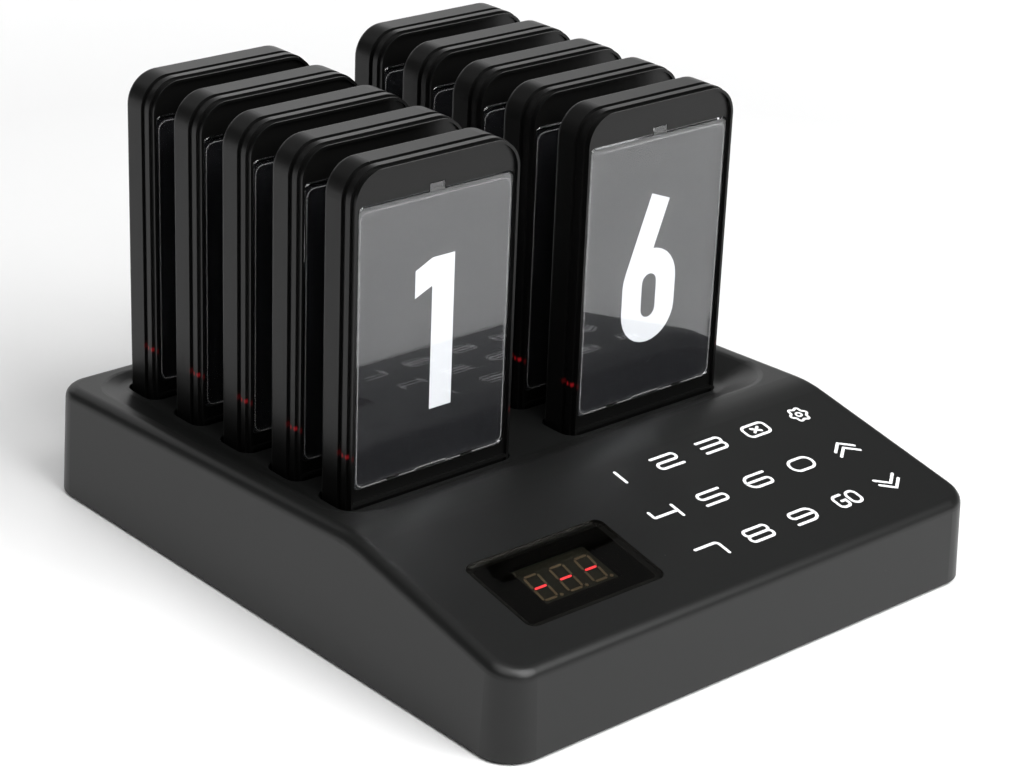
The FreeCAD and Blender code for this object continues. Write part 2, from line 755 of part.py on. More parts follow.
def make_top_housing():
    """The upper shell: roof, side walls, slot wells, screw bosses and board posts in one moulding."""
    outside, roof = make_hull("outside", "base_width", "base_depth", "base_corner", "0", "foot_height")
    shape_roof(outside, roof)
    cavity, _ = make_hull("cavity", "cavity_width", "cavity_depth", "cavity_corner", "skin_drop", "0")
    underside = make_body("dish_underside", node=False)
    flare_dish(underside, "top_skin", "PartDesign::AdditiveLoft")
    posts = make_columns("board_posts", "post_diameter", main_post_places(), "main_top", "-main_top")
    kept = fuse("kept_in_cavity", [
        underside,
        make_slots("wells", "well_width", "well_length", "well_corner", "slot_floor - well_wall",
                   "seat_depth + seat_gap + well_wall - top_skin / 2"),
        make_columns("bosses", "boss_diameter", case_screw_places(), "cover_top", "bend_height"),
        put_on_slope(posts, "main_across", "main_up"),
        make_panel_block("panel_wall", "side_wall", "0", "-panel_depth - side_wall"),
    ])
    hollow = cut("hollow", cavity, kept)
    pilots = make_columns("case_pilots", "case_screw", case_screw_places(), "foot_height",
                          "head_seat - foot_height + case_screw_length + pilot_spare")
    board_pilots = make_columns("board_pilots", "board_screw", main_post_places(), "main_top - pilot_spare",
                                "board_screw_reach + pilot_spare")
    openings = fuse("openings", [
        hollow,
        make_slots("slots", "slot_width", "slot_length", "slot_corner", "slot_floor", "2 * seat_depth"),
        make_contact_ports("left"),
        make_contact_ports("right"),
        pilots,
        put_on_slope(board_pilots, "main_across", "main_up"),
        make_display_opening(),
        *make_back_openings(),
    ])
    housing = cut("top_housing", outside, openings)
    NODES.append(housing)
    return housing


def make_bottom_cover():
    """Flat plate that closes the shell, with posts for the charging boards."""
    body = make_body("bottom_cover")
    plan = sketch_on(body, "XY_Plane", "foot_height")
    pad(body, rounded_rectangle(plan, "cover_width", "cover_depth", "cover_corner"), "cover_plate",
        draft="-wall_draft")
    for side in ("-", ""):
        centres = [(f"{side}(column_pitch / 2) + {x}", f"charge_middle + {y}")
                   for x, y in corners("hole_across", "hole_along")]
        pad(body, circles(sketch_on(body, "XY_Plane", "cover_top"), "post_diameter", centres),
            "charge_board_level - cover_top")
        pocket(body, circles(sketch_on(body, "XY_Plane", "charge_board_level"), "board_screw", centres),
               "board_screw_reach")
    for size, depth in (("case_screw", "cover_plate"), ("case_screw_head", "head_seat - foot_height")):
        holes = circles(sketch_on(body, "XY_Plane", "foot_height"), f"{size} + 2 * case_hole_gap",
                        case_screw_places())
        pocket(body, holes, depth, back=True)
    feet = circles(sketch_on(body, "XY_Plane", "foot_height"), "foot_diameter + 2 * foot_gap",
                   corners("foot_x", "foot_y"))
    pocket(body, feet, "foot_recess", back=True)
    return body


def make_rubber_feet():
    """Four round pads glued into shallow recesses of the cover."""
    body = make_body("rubber_feet")
    pad(body, circles(sketch_on(body, "XY_Plane"), "foot_diameter", corners("foot_x", "foot_y")), "foot_top")
    return body


def make_case_screws():
    """Six screws driven up through the cover into the shell's bosses."""
    body = make_body("case_screws")
    places = case_screw_places()
    heads = circles(sketch_on(body, "XY_Plane", "head_seat"), "case_screw_head", places)
    pad(body, heads, "case_screw_rise", back=True)
    pad(body, circles(sketch_on(body, "XY_Plane", "head_seat"), "case_screw", places), "case_screw_length")
    return body


# ---------------------------------------------------------------- charging parts

def make_charging_board(side):
    """One flat board under each column of slots."""
    body = make_body(f"charging_board_{side}")
    outline = rectangle(sketch_on(body, "XY_Plane"), "charge_board_width", "charge_board_length")
    pad(body, outline, "board_plate")
    holes = circles(sketch_on(body, "XY_Plane", "board_plate"), "board_screw + 2 * board_hole_gap",
                    corners("hole_across", "hole_along"))
    pocket(body, holes, "board_plate")
    sign = "-" if side == "left" else ""
    return put(body, f"{sign}column_pitch / 2", "charge_middle", "charge_board_level")


def make_charging_pins(side):
    """Sprung pins, two to a slot, standing on the charging board and shown pressed down."""
    body = make_body(f"charging_pins_{side}")
    rise = "(pin_tip - charge_board_top)"
    outline = polygon(sketch_on(body, "XZ_Plane"), [
        ("0", "0"),
        ("pin_flange / 2", "0"),
        ("pin_flange / 2", "pin_flange_plate"),
        ("pin_barrel / 2", "pin_flange_plate"),
        ("pin_barrel / 2", f"{rise} - pin_stroke"),
        ("pin_diameter / 2", f"{rise} - pin_stroke"),
        ("pin_diameter / 2", f"{rise} - pin_point"),
        ("pin_diameter / 4", rise),
        ("0", rise),
    ])
    turned = body.newObject("PartDesign::Revolution", "Turned")
    turned.Profile = outline
    turned.ReferenceAxis = (outline, ["V_Axis"])
    turned.Angle = 360
    grid(body, turned, "contact_spacing", 2, "row_pitch", ROWS)
    sign = "-" if side == "left" else ""
    return put(body, f"{sign}column_pitch / 2 - contact_spacing / 2", "first_y + contact_y",
               "charge_board_top")


def make_screw_set(label, places, from_below=False):
    """Small screws whose heads stand on the local zero plane and whose shanks go through it."""
    body = make_body(label, node=False)
    heads = circles(sketch_on(body, "XY_Plane"), "board_screw_head", places)
    pad(body, heads, "board_screw_rise", back=from_below)
    shanks = circles(sketch_on(body, "XY_Plane"), "board_screw", places)
    pad(body, shanks, "board_plate + board_screw_reach - pilot_spare", back=not from_below)
    return body


def make_board_screws():
    """Twelve like screws: four in each charging board from above, four in the main board from below."""
    sets = []
    for side in ("-", ""):
        screws = make_screw_set("charging_screws", corners("hole_across", "hole_along"))
        sets.append(put(screws, f"{side}column_pitch / 2", "charge_middle", "charge_board_top"))
    under = make_screw_set("main_screws", main_post_places(), from_below=True)
    sets.append(put_on_slope(under, "main_across", "main_up", "main_top - board_plate"))
    screws = fuse("board_screws", sets)
    NODES.append(screws)
    return screws


# ---------------------------------------------------------------- display and keypad

def make_display_lens():
    """Smoked window flush with the keypad surface."""
    body = make_body("display_lens")
    outline = rounded_rectangle(sketch_on(body, "XY_Plane"), "lens_width", "lens_length", "lens_corner")
    pad(body, outline, "lens_plate")
    return put_on_slope(body, "lens_across", "lens_up", "-lens_plate")


def make_display_module():
    """Three-digit light-emitting block soldered to the main board."""
    body = make_body("display_module")
    pad(body, rectangle(sketch_on(body, "XY_Plane"), "digits_width", "digits_length"), "digits_height")
    return put_on_slope(body, "digits_across", "digits_up", "main_top")


def make_touch_board():
    """Board with the fifteen touch pads, glued under the keypad."""
    body = make_body("touch_board")
    pad(body, rectangle(sketch_on(body, "XY_Plane"), "touch_width", "touch_length"), "board_plate", back=True)
    return put_on_slope(body, "touch_across", "touch_up", "touch_top")


def make_main_board():
    """Main board with its processor, screwed to posts under the slope."""
    body = make_body("main_board")
    pad(body, rectangle(sketch_on(body, "XY_Plane"), "main_width", "main_length"), "board_plate", back=True)
    holes = circles(sketch_on(body, "XY_Plane"), "board_screw + 2 * board_hole_gap", main_post_places())
    pocket(body, holes, "board_plate")
    chip = sketch_on(body, "XY_Plane", "-board_plate", "chip_across", "chip_up")
    pad(body, rectangle(chip, "chip_size", "chip_size"), "board_plate", back=True)
    return put_on_slope(body, "main_across", "main_up", "main_top")


def make_radio_module():
    """Small board with a shield can, on top of the main board."""
    body = make_body("radio_module")
    pad(body, rectangle(sketch_on(body, "XY_Plane"), "radio_width", "radio_length"), "radio_plate")
    can = rectangle(sketch_on(body, "XY_Plane", "radio_plate"),
                    "radio_width - 2 * radio_can_inset", "radio_length - 2 * radio_can_inset")
    pad(body, can, "radio_can")
    return put_on_slope(body, "radio_across", "radio_up", "main_top")


def make_antenna():
    """Stamped strip aerial on two legs."""
    body = make_body("antenna")
    inner = "antenna_width / 2 - antenna_strip"
    outline = polygon(sketch_on(body, "XZ_Plane", "antenna_length / 2"), [
        ("-antenna_width / 2", "0"),
        (f"-({inner})", "0"),
        (f"-({inner})", "antenna_rise - antenna_strip"),
        (inner, "antenna_rise - antenna_strip"),
        (inner, "0"),
        ("antenna_width / 2", "0"),
        ("antenna_width / 2", "antenna_rise"),
        ("-antenna_width / 2", "antenna_rise"),
    ])
    pad(body, outline, "antenna_length")
    return put_on_slope(body, "antenna_across", "radio_up", "main_top")


def make_buzzer():
    """Round sounder for the key beeps."""
    body = make_body("buzzer")
    pad(body, circles(sketch_on(body, "XY_Plane"), "buzzer_diameter", [("0", "0")]), "buzzer_height")
    return put_on_slope(body, "main_across", "buzzer_up", "main_top")


def make_ribbon_cable():
    """Flat strip from the underside of the touch board to the top of the main board."""
    body = make_body("ribbon_cable")
    low, high = "main_top", "(touch_top - board_plate)"
    right = "ribbon_bend + ribbon_tab"
    outline = polygon(sketch_on(body, "XZ_Plane", "ribbon_width / 2"), [
        ("ribbon_left", low),
        ("ribbon_bend", low),
        ("ribbon_bend", f"{high} - ribbon_plate"),
        (right, f"{high} - ribbon_plate"),
        (right, high),
        ("ribbon_bend - ribbon_plate", high),
        ("ribbon_bend - ribbon_plate", f"{low} + ribbon_plate"),
        ("ribbon_left", f"{low} + ribbon_plate"),
    ])
    pad(body, outline, "ribbon_width")
    return put_on_slope(body, "0", "ribbon_up")


# ---------------------------------------------------------------- power inlet and switch

def make_power_jack():
    """Round inlet for a barrel plug, snapped into the back wall."""
    body = make_body("power_jack")
    centre = [("0", "0")]
    pad(body, circles(sketch_on(body, "XZ_Plane", "flange_plate"), "inlet_flange", centre), "flange_plate")
    pad(body, circles(sketch_on(body, "XZ_Plane"), "inlet_barrel", centre), "outlet_reach")
    bore = circles(sketch_on(body, "XZ_Plane", "flange_plate"), "inlet_bore", centre)
    pocket(body, bore, "inlet_depth", back=True)
    pad(body, circles(sketch_on(body, "XZ_Plane", "flange_plate - inlet_depth"), "inlet_pin", centre),
        "inlet_depth - flange_plate", back=True)
    return put_on_back(body, "inlet_across", "outlet_height")


def make_switch_housing():
    """Bezel and body of the rocker switch, with the pocket and bearing holes for the rocker."""
    body = make_body("power_switch_housing")
    bezel = rectangle(sketch_on(body, "XZ_Plane", "flange_plate"),
                      "switch_width + 2 * switch_bezel", "switch_height + 2 * switch_bezel")
    pad(body, bezel, "flange_plate")
    pad(body, rectangle(sketch_on(body, "XZ_Plane"), "switch_width", "switch_height"), "outlet_reach")
    room = rectangle(sketch_on(body, "XZ_Plane", "flange_plate"), "pocket_width", "pocket_height")
    pocket(body, room, "flange_plate - pivot_y + rocker_reach + rocker_gap", back=True)
    bearing = circles(sketch_on(body, "XY_Plane", "-switch_height", up="pivot_y"),
                      "rocker_pin + 2 * rocker_pin_gap", [("0", "0")])
    pocket(body, bearing, "2 * switch_height", back=True)
    return put_on_back(body, "switch_across", "outlet_height")


def make_switch_rocker():
    """The rocker, lying towards its on side; its pin runs up and down the wall."""
    body = make_body("power_switch_rocker")
    upright = [
        ("-rocker_width / 2", "rocker_rise"),
        ("-rocker_shoulder", "-rocker_skirt"),
        ("0", "-rocker_reach"),
        ("rocker_shoulder", "-rocker_skirt"),
        ("rocker_width / 2", "rocker_rise"),
        ("0", "rocker_dip"),
    ]
    tilted = [(f"({x}) * cos(rocker_tilt) + ({y}) * sin(rocker_tilt)",
               f"({y}) * cos(rocker_tilt) - ({x}) * sin(rocker_tilt)") for x, y in upright]
    pad(body, polygon(sketch_on(body, "XY_Plane", "-rocker_height / 2"), tilted), "rocker_height")
    pin = circles(sketch_on(body, "XY_Plane", "-switch_height / 2"), "rocker_pin", [("0", "0")])
    pad(body, pin, "switch_height")
    return put_on_back(body, "switch_across", "outlet_height", "pivot_y - panel_depth")


# ---------------------------------------------------------------- one pager

def make_rear_shell(label):
    """Back half of the casing: a tub with posts for the board and ports for the charging pins."""
    body = make_body(label)
    outline = rounded_rectangle(sketch_on(body, "XZ_Plane", "pager_back", up="pager_middle"),
                                "pager_width", "pager_height", "pager_corner")
    tub = pad(body, outline, "rear_depth")
    back = number("pager_back")
    round_edges(body, tub, "rear_round", lambda edge, mid: abs(mid.y - back) < NEAR)
    hollow = rounded_rectangle(sketch_on(body, "XZ_Plane", "groove_back", up="pager_middle"),
                               "rear_hollow_width", "rear_hollow_height", "rear_hollow_corner")
    pocket(body, hollow, "rear_depth - pager_wall")
    posts = circles(sketch_on(body, "XZ_Plane", "rear_floor", up="pager_middle"), "circuit_post",
                    corners("post_across", "post_rise"))
    pad(body, posts, "rear_floor - circuit_back")
    for side in ("-", ""):
        port = sketch_on(body, "XY_Plane", "0", f"{side}contact_spacing / 2", "contact_y")
        pocket(body, rectangle(port, "contact_port_width", "contact_port_depth"), "pager_wall", back=True)
    return body


def make_front_frame(label):
    """Front half: groove, rib, second groove and lip round a sunk face, which holds the window and card."""
    body = make_body(label)
    neck = rounded_rectangle(sketch_on(body, "XZ_Plane", "groove_back", up="pager_middle"),
                             "neck_width", "neck_height", "neck_corner")
    pad(body, neck, "groove_width")
    rib = rounded_rectangle(sketch_on(body, "XZ_Plane", "rib_back", up="pager_middle"),
                            "pager_width", "pager_height", "pager_corner")
    pad(body, rib, "rib_width")
    face_neck = rounded_rectangle(sketch_on(body, "XZ_Plane", "rib_front", up="pager_middle"),
                                  "face_neck_width", "face_neck_height", "face_neck_corner")
    pad(body, face_neck, "face_groove_width")
    lip = rounded_rectangle(sketch_on(body, "XZ_Plane", "lip_back", up="pager_middle"),
                            "lip_outer_width", "lip_outer_height", "lip_outer_corner")
    pad(body, lip, "lip_thick")
    inside = rounded_rectangle(sketch_on(body, "XZ_Plane", "pager_front", up="pager_middle"),
                               "lip_inner_width", "lip_inner_height", "lip_inner_corner")
    pocket(body, inside, "lip_rise")
    hollow = rounded_rectangle(sketch_on(body, "XZ_Plane", "groove_back", up="pager_middle"),
                               "front_hollow_width", "front_hollow_height", "front_hollow_corner")
    pocket(body, hollow, "groove_back - front_floor", back=True)
    recess = rounded_rectangle(sketch_on(body, "XZ_Plane", "pager_face", up="window_middle"),
                               "recess_width", "recess_height", "recess_corner")
    pocket(body, recess, "pocket_floor - pager_face")
    notch = sketch_on(body, "XZ_Plane", "pager_face", up="window_level + window_height")
    pocket(body, rectangle(notch, "pull_width + 2 * window_gap", "2 * (pull_height + window_gap)"),
           "window_plate / 2 + window_gap")
    for side in ("-", ""):
        hook = sketch_on(body, "XZ_Plane", "window_back", f"{side}hook_spacing / 2",
                         "window_level + hook_height / 2 - window_gap")
        pad(body, rectangle(hook, "hook_width - 2 * window_gap", "hook_height"), "window_plate / 2")
    ledge = sketch_on(body, "XZ_Plane", "pager_face", up="seat_depth + ledge_height")
    pad(body, rectangle(ledge, "lip_inner_width + lip_width", "ledge_height"), "lip_rise")
    return body


def make_window(label):
    """Clear cover over the number card, with a pull at its top and two notches for the hooks."""
    body = make_body(label)
    outline = rounded_rectangle(sketch_on(body, "XZ_Plane", "window_back", up="window_middle"),
                                "window_width", "window_height", "window_corner")
    plate = pad(body, outline, "window_plate")
    face = number("pager_face")
    round_edges(body, plate, "window_bevel", lambda edge, mid: abs(mid.y - face) < NEAR,
                "PartDesign::Chamfer")
    pull = sketch_on(body, "XZ_Plane", "pager_face", up="window_level + window_height")
    pad(body, rectangle(pull, "pull_width", "2 * pull_height"), "window_plate / 2", back=True)
    for side in ("-", ""):
        notch = sketch_on(body, "XZ_Plane", "window_back", f"{side}hook_spacing / 2", "window_level")
        pocket(body, rectangle(notch, "hook_width", "2 * hook_height"), "window_plate", back=True)
    return body


def make_circuit(label):
    """Board with battery, vibration motor, lights and the two charging contacts."""
    body = make_body(label)
    board = sketch_on(body, "XZ_Plane", "circuit_back", up="pager_middle")
    pad(body, rectangle(board, "circuit_width", "circuit_height"), "circuit_plate")
    battery = sketch_on(body, "XZ_Plane", "circuit_back", up="pager_middle")
    pad(body, rectangle(battery, "battery_width", "battery_height"), "battery_thick", back=True)
    motor = sketch_on(body, "XZ_Plane", "circuit_front", up="motor_level")
    pad(body, circles(motor, "motor_diameter", [("0", "0")]), "motor_thick")
    for side in ("-", ""):
        light = sketch_on(body, "XZ_Plane", "circuit_front", f"{side}(circuit_width - light_width) / 2",
                          "light_level")
        pad(body, rectangle(light, "light_width", "light_height"), "light_thick")
        leaf = rectangle(sketch_on(body, "XY_Plane", "pager_wall", f"{side}contact_spacing / 2", "contact_y"),
                         "contact_port_width + contact_margin", "contact_port_depth + contact_margin")
        pad(body, leaf, "contact_leaf")
        leg = sketch_on(body, "XY_Plane", "pager_wall", f"{side}contact_spacing / 2",
                        "circuit_back + contact_leaf / 2")
        pad(body, rectangle(leg, "contact_port_width / 2", "contact_leaf"), "contact_leg")
    return body


def copy_of(master, label):
    """A body that repeats another one."""
    body = make_body(label)
    repeat = DOC.addObject("PartDesign::FeatureBase", "Repeat")
    repeat.BaseFeature = master
    body.Group = [repeat]
    body.Tip = repeat
    return body


PAGER_PIECES = {
    "rear_shell": make_rear_shell,
    "front_frame": make_front_frame,
    "window": make_window,
    "circuit": make_circuit,
}


def make_pagers():
    """Ten pagers, numbered from front to back in the left column and then in the right one."""
    for piece, make in PAGER_PIECES.items():
        master = None
        for index in range(COLUMNS * ROWS):
            column, row = divmod(index, ROWS)
            label = f"pager_{index + 1}_{piece}"
            body = copy_of(master, label) if master else make(label)
            master = master or body
            put(body, f"first_x + {column} * column_pitch", f"first_y + {row} * row_pitch", "pager_seat")


# ---------------------------------------------------------------- building, checking and writing

def make_base():
    """Every piece of the charging base."""
    make_top_housing()
    make_bottom_cover()
    make_rubber_feet()
    make_case_screws()
    for side in ("left", "right"):
        make_charging_board(side)
        make_charging_pins(side)
    make_board_screws()
    make_display_lens()
    make_display_module()
    make_touch_board()
    make_main_board()
    make_radio_module()
    make_antenna()
    make_buzzer()
    make_ribbon_cable()
    make_power_jack()
    make_switch_housing()
    make_switch_rocker()


def check_document():
    """Stop if any object failed or any piece has no valid solid."""
    DOC.recompute()
    failed = [item.Label for item in DOC.Objects if {"Invalid", "Error"} & set(item.State)]
    if failed:
        raise RuntimeError("these objects failed: " + ", ".join(failed))
    for item in NODES:
        if item.Shape.isNull() or not item.Shape.isValid() or not item.Shape.Solids:
            raise RuntimeError("no valid solid in " + item.Label)


def write_parts():
    """One STEP file for each piece."""
    os.makedirs("parts", exist_ok=True)
    for item in NODES:
        item.Shape.exportStep(os.path.join("parts", item.Label + ".step"))


make_base()
make_pagers()
check_document()
write_parts()
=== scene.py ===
"""Looks of the guest pager system: a charging base with a touch keypad and two columns of five pagers."""
import math
import bpy
import numpy as np
from mathutils import Matrix


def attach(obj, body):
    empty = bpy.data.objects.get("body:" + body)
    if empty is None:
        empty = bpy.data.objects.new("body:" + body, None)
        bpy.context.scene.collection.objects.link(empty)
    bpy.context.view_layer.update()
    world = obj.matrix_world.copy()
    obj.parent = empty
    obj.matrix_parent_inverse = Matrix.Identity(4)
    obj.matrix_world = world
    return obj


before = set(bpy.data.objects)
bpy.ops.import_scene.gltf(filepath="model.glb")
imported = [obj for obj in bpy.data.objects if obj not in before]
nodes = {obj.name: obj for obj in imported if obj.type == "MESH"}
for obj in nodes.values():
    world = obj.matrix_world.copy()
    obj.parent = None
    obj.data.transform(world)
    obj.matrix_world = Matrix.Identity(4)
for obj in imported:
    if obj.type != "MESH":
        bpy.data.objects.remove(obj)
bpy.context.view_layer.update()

MM = 0.001

# ------------------------------------------------------------------ the viewpoint
# A long lens looks down on the base from the keypad's left. Its small shift and roll are part of
# the framing: the object leans a little, and stands a little right of the middle.
AZIMUTH, ELEVATION, ROLL = (math.radians(turn) for turn in (-42.55, 23.51, 2.57))
TARGET, DISTANCE = np.array([22.66, 13.46, 40.0]) * MM, 884.59 * MM
FRAME_WIDTH, FRAME_HEIGHT, FOCAL_PIXELS = 1024, 768, 2796.5
CENTRE_X, CENTRE_Y = 533.0, 382.0
SENSOR_WIDTH, NEAREST, FARTHEST = 36, 0.01, 50
UPWARDS = (0, 0, 1)


def level_axes(back):
    """Right and up of a thing whose back points that way: right is level, and up is square to both."""
    right = np.cross(UPWARDS, back)
    right /= np.linalg.norm(right)
    return right, np.cross(back, right)


def camera_axes():
    """Right, up and back of the camera: back runs from target to lens, and the other two roll about it."""
    level = math.cos(ELEVATION)
    back = np.array([math.sin(AZIMUTH) * level, -math.cos(AZIMUTH) * level, math.sin(ELEVATION)])
    right, up = level_axes(back)
    return (math.cos(ROLL) * right + math.sin(ROLL) * up,
            math.cos(ROLL) * up - math.sin(ROLL) * right, back)


def standing(right, up, back, place):
    """The matrix of a thing at a place, whose own x, y and z run along right, up and back."""
    matrix = np.eye(4)
    matrix[:3] = np.column_stack([right, up, back, place])
    return Matrix(matrix.tolist())


right, up, back = camera_axes()
lens = bpy.data.cameras.new("view")
lens.sensor_width = SENSOR_WIDTH
lens.lens = FOCAL_PIXELS / FRAME_WIDTH * SENSOR_WIDTH
lens.shift_x = (FRAME_WIDTH / 2 - CENTRE_X) / FRAME_WIDTH
lens.shift_y = (CENTRE_Y - FRAME_HEIGHT / 2) / FRAME_WIDTH
lens.clip_start, lens.clip_end = NEAREST, FARTHEST
camera = bpy.data.objects.new("view", lens)
bpy.context.scene.collection.objects.link(camera)
camera.matrix_world = standing(right, up, back, TARGET + DISTANCE * back)
bpy.context.scene.camera = camera

# ------------------------------------------------------------------ top housing
# One black injection moulding with a fine spark-eroded grain, which scatters light softly. The
# whole shell has it, and the same grain is used for every other matt plastic here.
GRAIN_SCALE, GRAIN_DEPTH = 2600.0, 0.02 * MM
CLOUD_SCALE, CLOUD_AMOUNT = 26.0, 0.12
DUST_SCALE, DUST_AMOUNT, DUST_COLOR = 420.0, 0.5, (0.3, 0.3, 0.29, 1)
SPECK_CORE, SPECK_EDGE = 0.035, 0.075    # a speck's size, as a share of its cell
DUST_RARE, DUST_SURE = 0.975, 0.99       # of all cells, only the last few in a hundred hold a speck
GRAIN_GLOSS = 0.12


def new_group(name, inputs, outputs):
    """A shader node group; inputs are (name, default), outputs are (name, socket type)."""
    group = bpy.data.node_groups.new(name, "ShaderNodeTree")
    for label, default in inputs:
        kind = "NodeSocketColor" if isinstance(default, tuple) else "NodeSocketFloat"
        socket = group.interface.new_socket(label, in_out="INPUT", socket_type=kind)
        socket.default_value = default
    for label, kind in outputs:
        group.interface.new_socket(label, in_out="OUTPUT", socket_type=kind)
    return group, group.nodes.new("NodeGroupInput"), group.nodes.new("NodeGroupOutput")


def add(tree, kind, settings=None, **links):
    """A node with its settings; each link names an input, or numbers it as in _1, and gives what feeds it."""
    node = tree.nodes.new(kind)
    for prop, value in (settings or {}).items():
        setattr(node, prop, value)
    for label, value in links.items():
        key = int(label[1:]) if label[0] == "_" else label.replace("_", " ")
        if isinstance(value, bpy.types.NodeSocket):
            tree.links.new(value, node.inputs[key])
        else:
            node.inputs[key].default_value = value
    return node


def feed(tree, node, **sources):
    """Link each source to the input that it is named for."""
    for label, source in sources.items():
        tree.links.new(source, node.inputs[label.replace("_", " ")])


def own_place(tree):
    """The point's place in the object's own coordinates."""
    return add(tree, "ShaderNodeTexCoord").outputs["Object"]


def worked(tree, operation, *values):
    """What one Math node makes of its values."""
    inputs = {f"_{k}": value for k, value in enumerate(values)}
    return add(tree, "ShaderNodeMath", {"operation": operation}, **inputs).outputs[0]


def scaled(tree, color, factor):
    """A colour times a factor."""
    return add(tree, "ShaderNodeVectorMath", {"operation": "SCALE"}, _0=color, Scale=factor).outputs[0]


def ranged(tree, value, low, high, to_low, to_high, easing="LINEAR"):
    """A value carried from the range low to high to another range, and held at its ends."""
    return add(tree, "ShaderNodeMapRange", {"interpolation_type": easing}, Value=value,
               From_Min=low, From_Max=high, To_Min=to_low, To_Max=to_high).outputs[0]


def make_grain_group():
    """Colour, gloss and height of moulded plastic.

    Fine noise is the height, and a little of it goes into the gloss. Broad noise makes the colour
    lighter and darker. A few cells of a cell pattern hold a pale dust speck in their middle.
    """
    group, inlet, outlet = new_group(
        "moulded_grain",
        [("Color", (0.03, 0.03, 0.03, 1)), ("Scale", GRAIN_SCALE), ("Cloud", CLOUD_AMOUNT),
         ("Dust", DUST_AMOUNT), ("Roughness", 0.5)],
        [("Color", "NodeSocketColor"), ("Roughness", "NodeSocketFloat"), ("Height", "NodeSocketFloat")])
    given, place = inlet.outputs, own_place(group)
    grain = add(group, "ShaderNodeTexNoise", Vector=place, Scale=given["Scale"], Detail=3.0, Roughness=0.6)
    cloud = add(group, "ShaderNodeTexNoise", Vector=place, Scale=CLOUD_SCALE, Detail=4.0, Roughness=0.55)
    cells = add(group, "ShaderNodeTexVoronoi", Vector=place, Scale=DUST_SCALE, Randomness=1.0)
    speck = ranged(group, cells.outputs["Distance"], SPECK_CORE, SPECK_EDGE, 1.0, 0.0)
    chance = add(group, "ShaderNodeSeparateColor", Color=cells.outputs["Color"]).outputs[0]
    rare = ranged(group, chance, DUST_RARE, DUST_SURE, 0.0, 1.0)
    dust = worked(group, "MULTIPLY", worked(group, "MULTIPLY", speck, rare), given["Dust"])
    shade = worked(group, "SUBTRACT", cloud.outputs["Fac"], 0.5)
    shade = worked(group, "MULTIPLY_ADD", shade, given["Cloud"], 1.0)
    tinted = scaled(group, given["Color"], shade)
    dusty = add(group, "ShaderNodeMix", {"data_type": "RGBA"}, Factor=dust, _6=tinted, _7=DUST_COLOR)
    gloss = worked(group, "MULTIPLY_ADD", grain.outputs["Fac"], GRAIN_GLOSS, given["Roughness"])
    feed(group, outlet, Color=dusty.outputs[2], Roughness=gloss, Height=grain.outputs["Fac"])
    return group


GRAIN = make_grain_group()


def new_material(name, metallic=0.0, ior=1.5, **sockets):
    """A material with one Principled shader, whose plain sockets are set here."""
    material = bpy.data.materials.new(name)
    material.use_nodes = True
    shader = material.node_tree.nodes["Principled BSDF"]
    shader.inputs["Metallic"].default_value = metallic
    shader.inputs["IOR"].default_value = ior
    for label, value in sockets.items():
        shader.inputs[label.replace("_", " ")].default_value = value
    return material, material.node_tree, shader


def moulded(name, color, roughness, bump=0.15, scale=GRAIN_SCALE, cloud=CLOUD_AMOUNT, dust=DUST_AMOUNT,
            **sockets):
    """Moulded plastic: the grain group sets colour and gloss, and its height goes into a bump."""
    material, tree, shader = new_material(name, **sockets)
    grain = add(tree, "ShaderNodeGroup", {"node_tree": GRAIN}, Color=(*color, 1), Scale=scale, Cloud=cloud,
                Dust=dust, Roughness=roughness).outputs
    relief = add(tree, "ShaderNodeBump", Strength=bump, Distance=GRAIN_DEPTH, Height=grain["Height"])
    feed(tree, shader, Base_Color=grain["Color"], Roughness=grain["Roughness"], Normal=relief.outputs[0])
    return material


def finish_node(material, *names):
    """Give CAD nodes their finish in place of the plain one they came with."""
    for name in names:
        nodes[name].data.materials.clear()
        nodes[name].data.materials.append(material)


finish_node(moulded("housing_black", (0.0065, 0.0068, 0.0066), 0.32, Specular_IOR_Level=0.36), "top_housing")

# ------------------------------------------------------------------ bottom cover, feet and screws
# The cover is moulded like the shell, and four soft rubber pads sit in its recesses. Zinc plated
# screws hold shell, cover and boards: turned steel with fine tool marks.
MARK_DEPTH = 0.02 * MM

finish_node(moulded("cover_black", (0.0055, 0.0055, 0.0056), 0.42), "bottom_cover")
finish_node(moulded("foot_rubber", (0.012, 0.012, 0.012), 0.72, bump=0.3, scale=1500.0), "rubber_feet")


def noise(tree, scale, detail):
    """Cloudy noise over the object's own coordinates, from 0 to 1."""
    return add(tree, "ShaderNodeTexNoise", Vector=own_place(tree), Scale=scale, Detail=detail).outputs["Fac"]


def plated(name, color, roughness, scale):
    """Plated metal: fine noise stands for the tool marks, in tone, gloss and relief."""
    material, tree, shader = new_material(name, metallic=1.0)
    marks = noise(tree, scale, 4.0)
    tone = ranged(tree, marks, 0.0, 1.0, 0.8, 1.1)
    tint = scaled(tree, color, tone)
    gloss = ranged(tree, marks, 0.0, 1.0, roughness - 0.08, roughness + 0.1)
    relief = add(tree, "ShaderNodeBump", Strength=0.2, Distance=MARK_DEPTH, Height=marks)
    feed(tree, shader, Base_Color=tint, Roughness=gloss, Normal=relief.outputs[0])
    return material


finish_node(plated("zinc_plate", (0.58, 0.58, 0.56), 0.34, 1800.0), "case_screws", "board_screws")

# ------------------------------------------------------------------ circuit boards and what they carry
# Green solder mask over copper, with tracks that show as slightly lighter lines. The pins are
# gold plated, the can is tinned steel, and the small parts are black moulded resin.
TRACK_DEPTH = 0.04 * MM
PAGERS = range(1, 11)


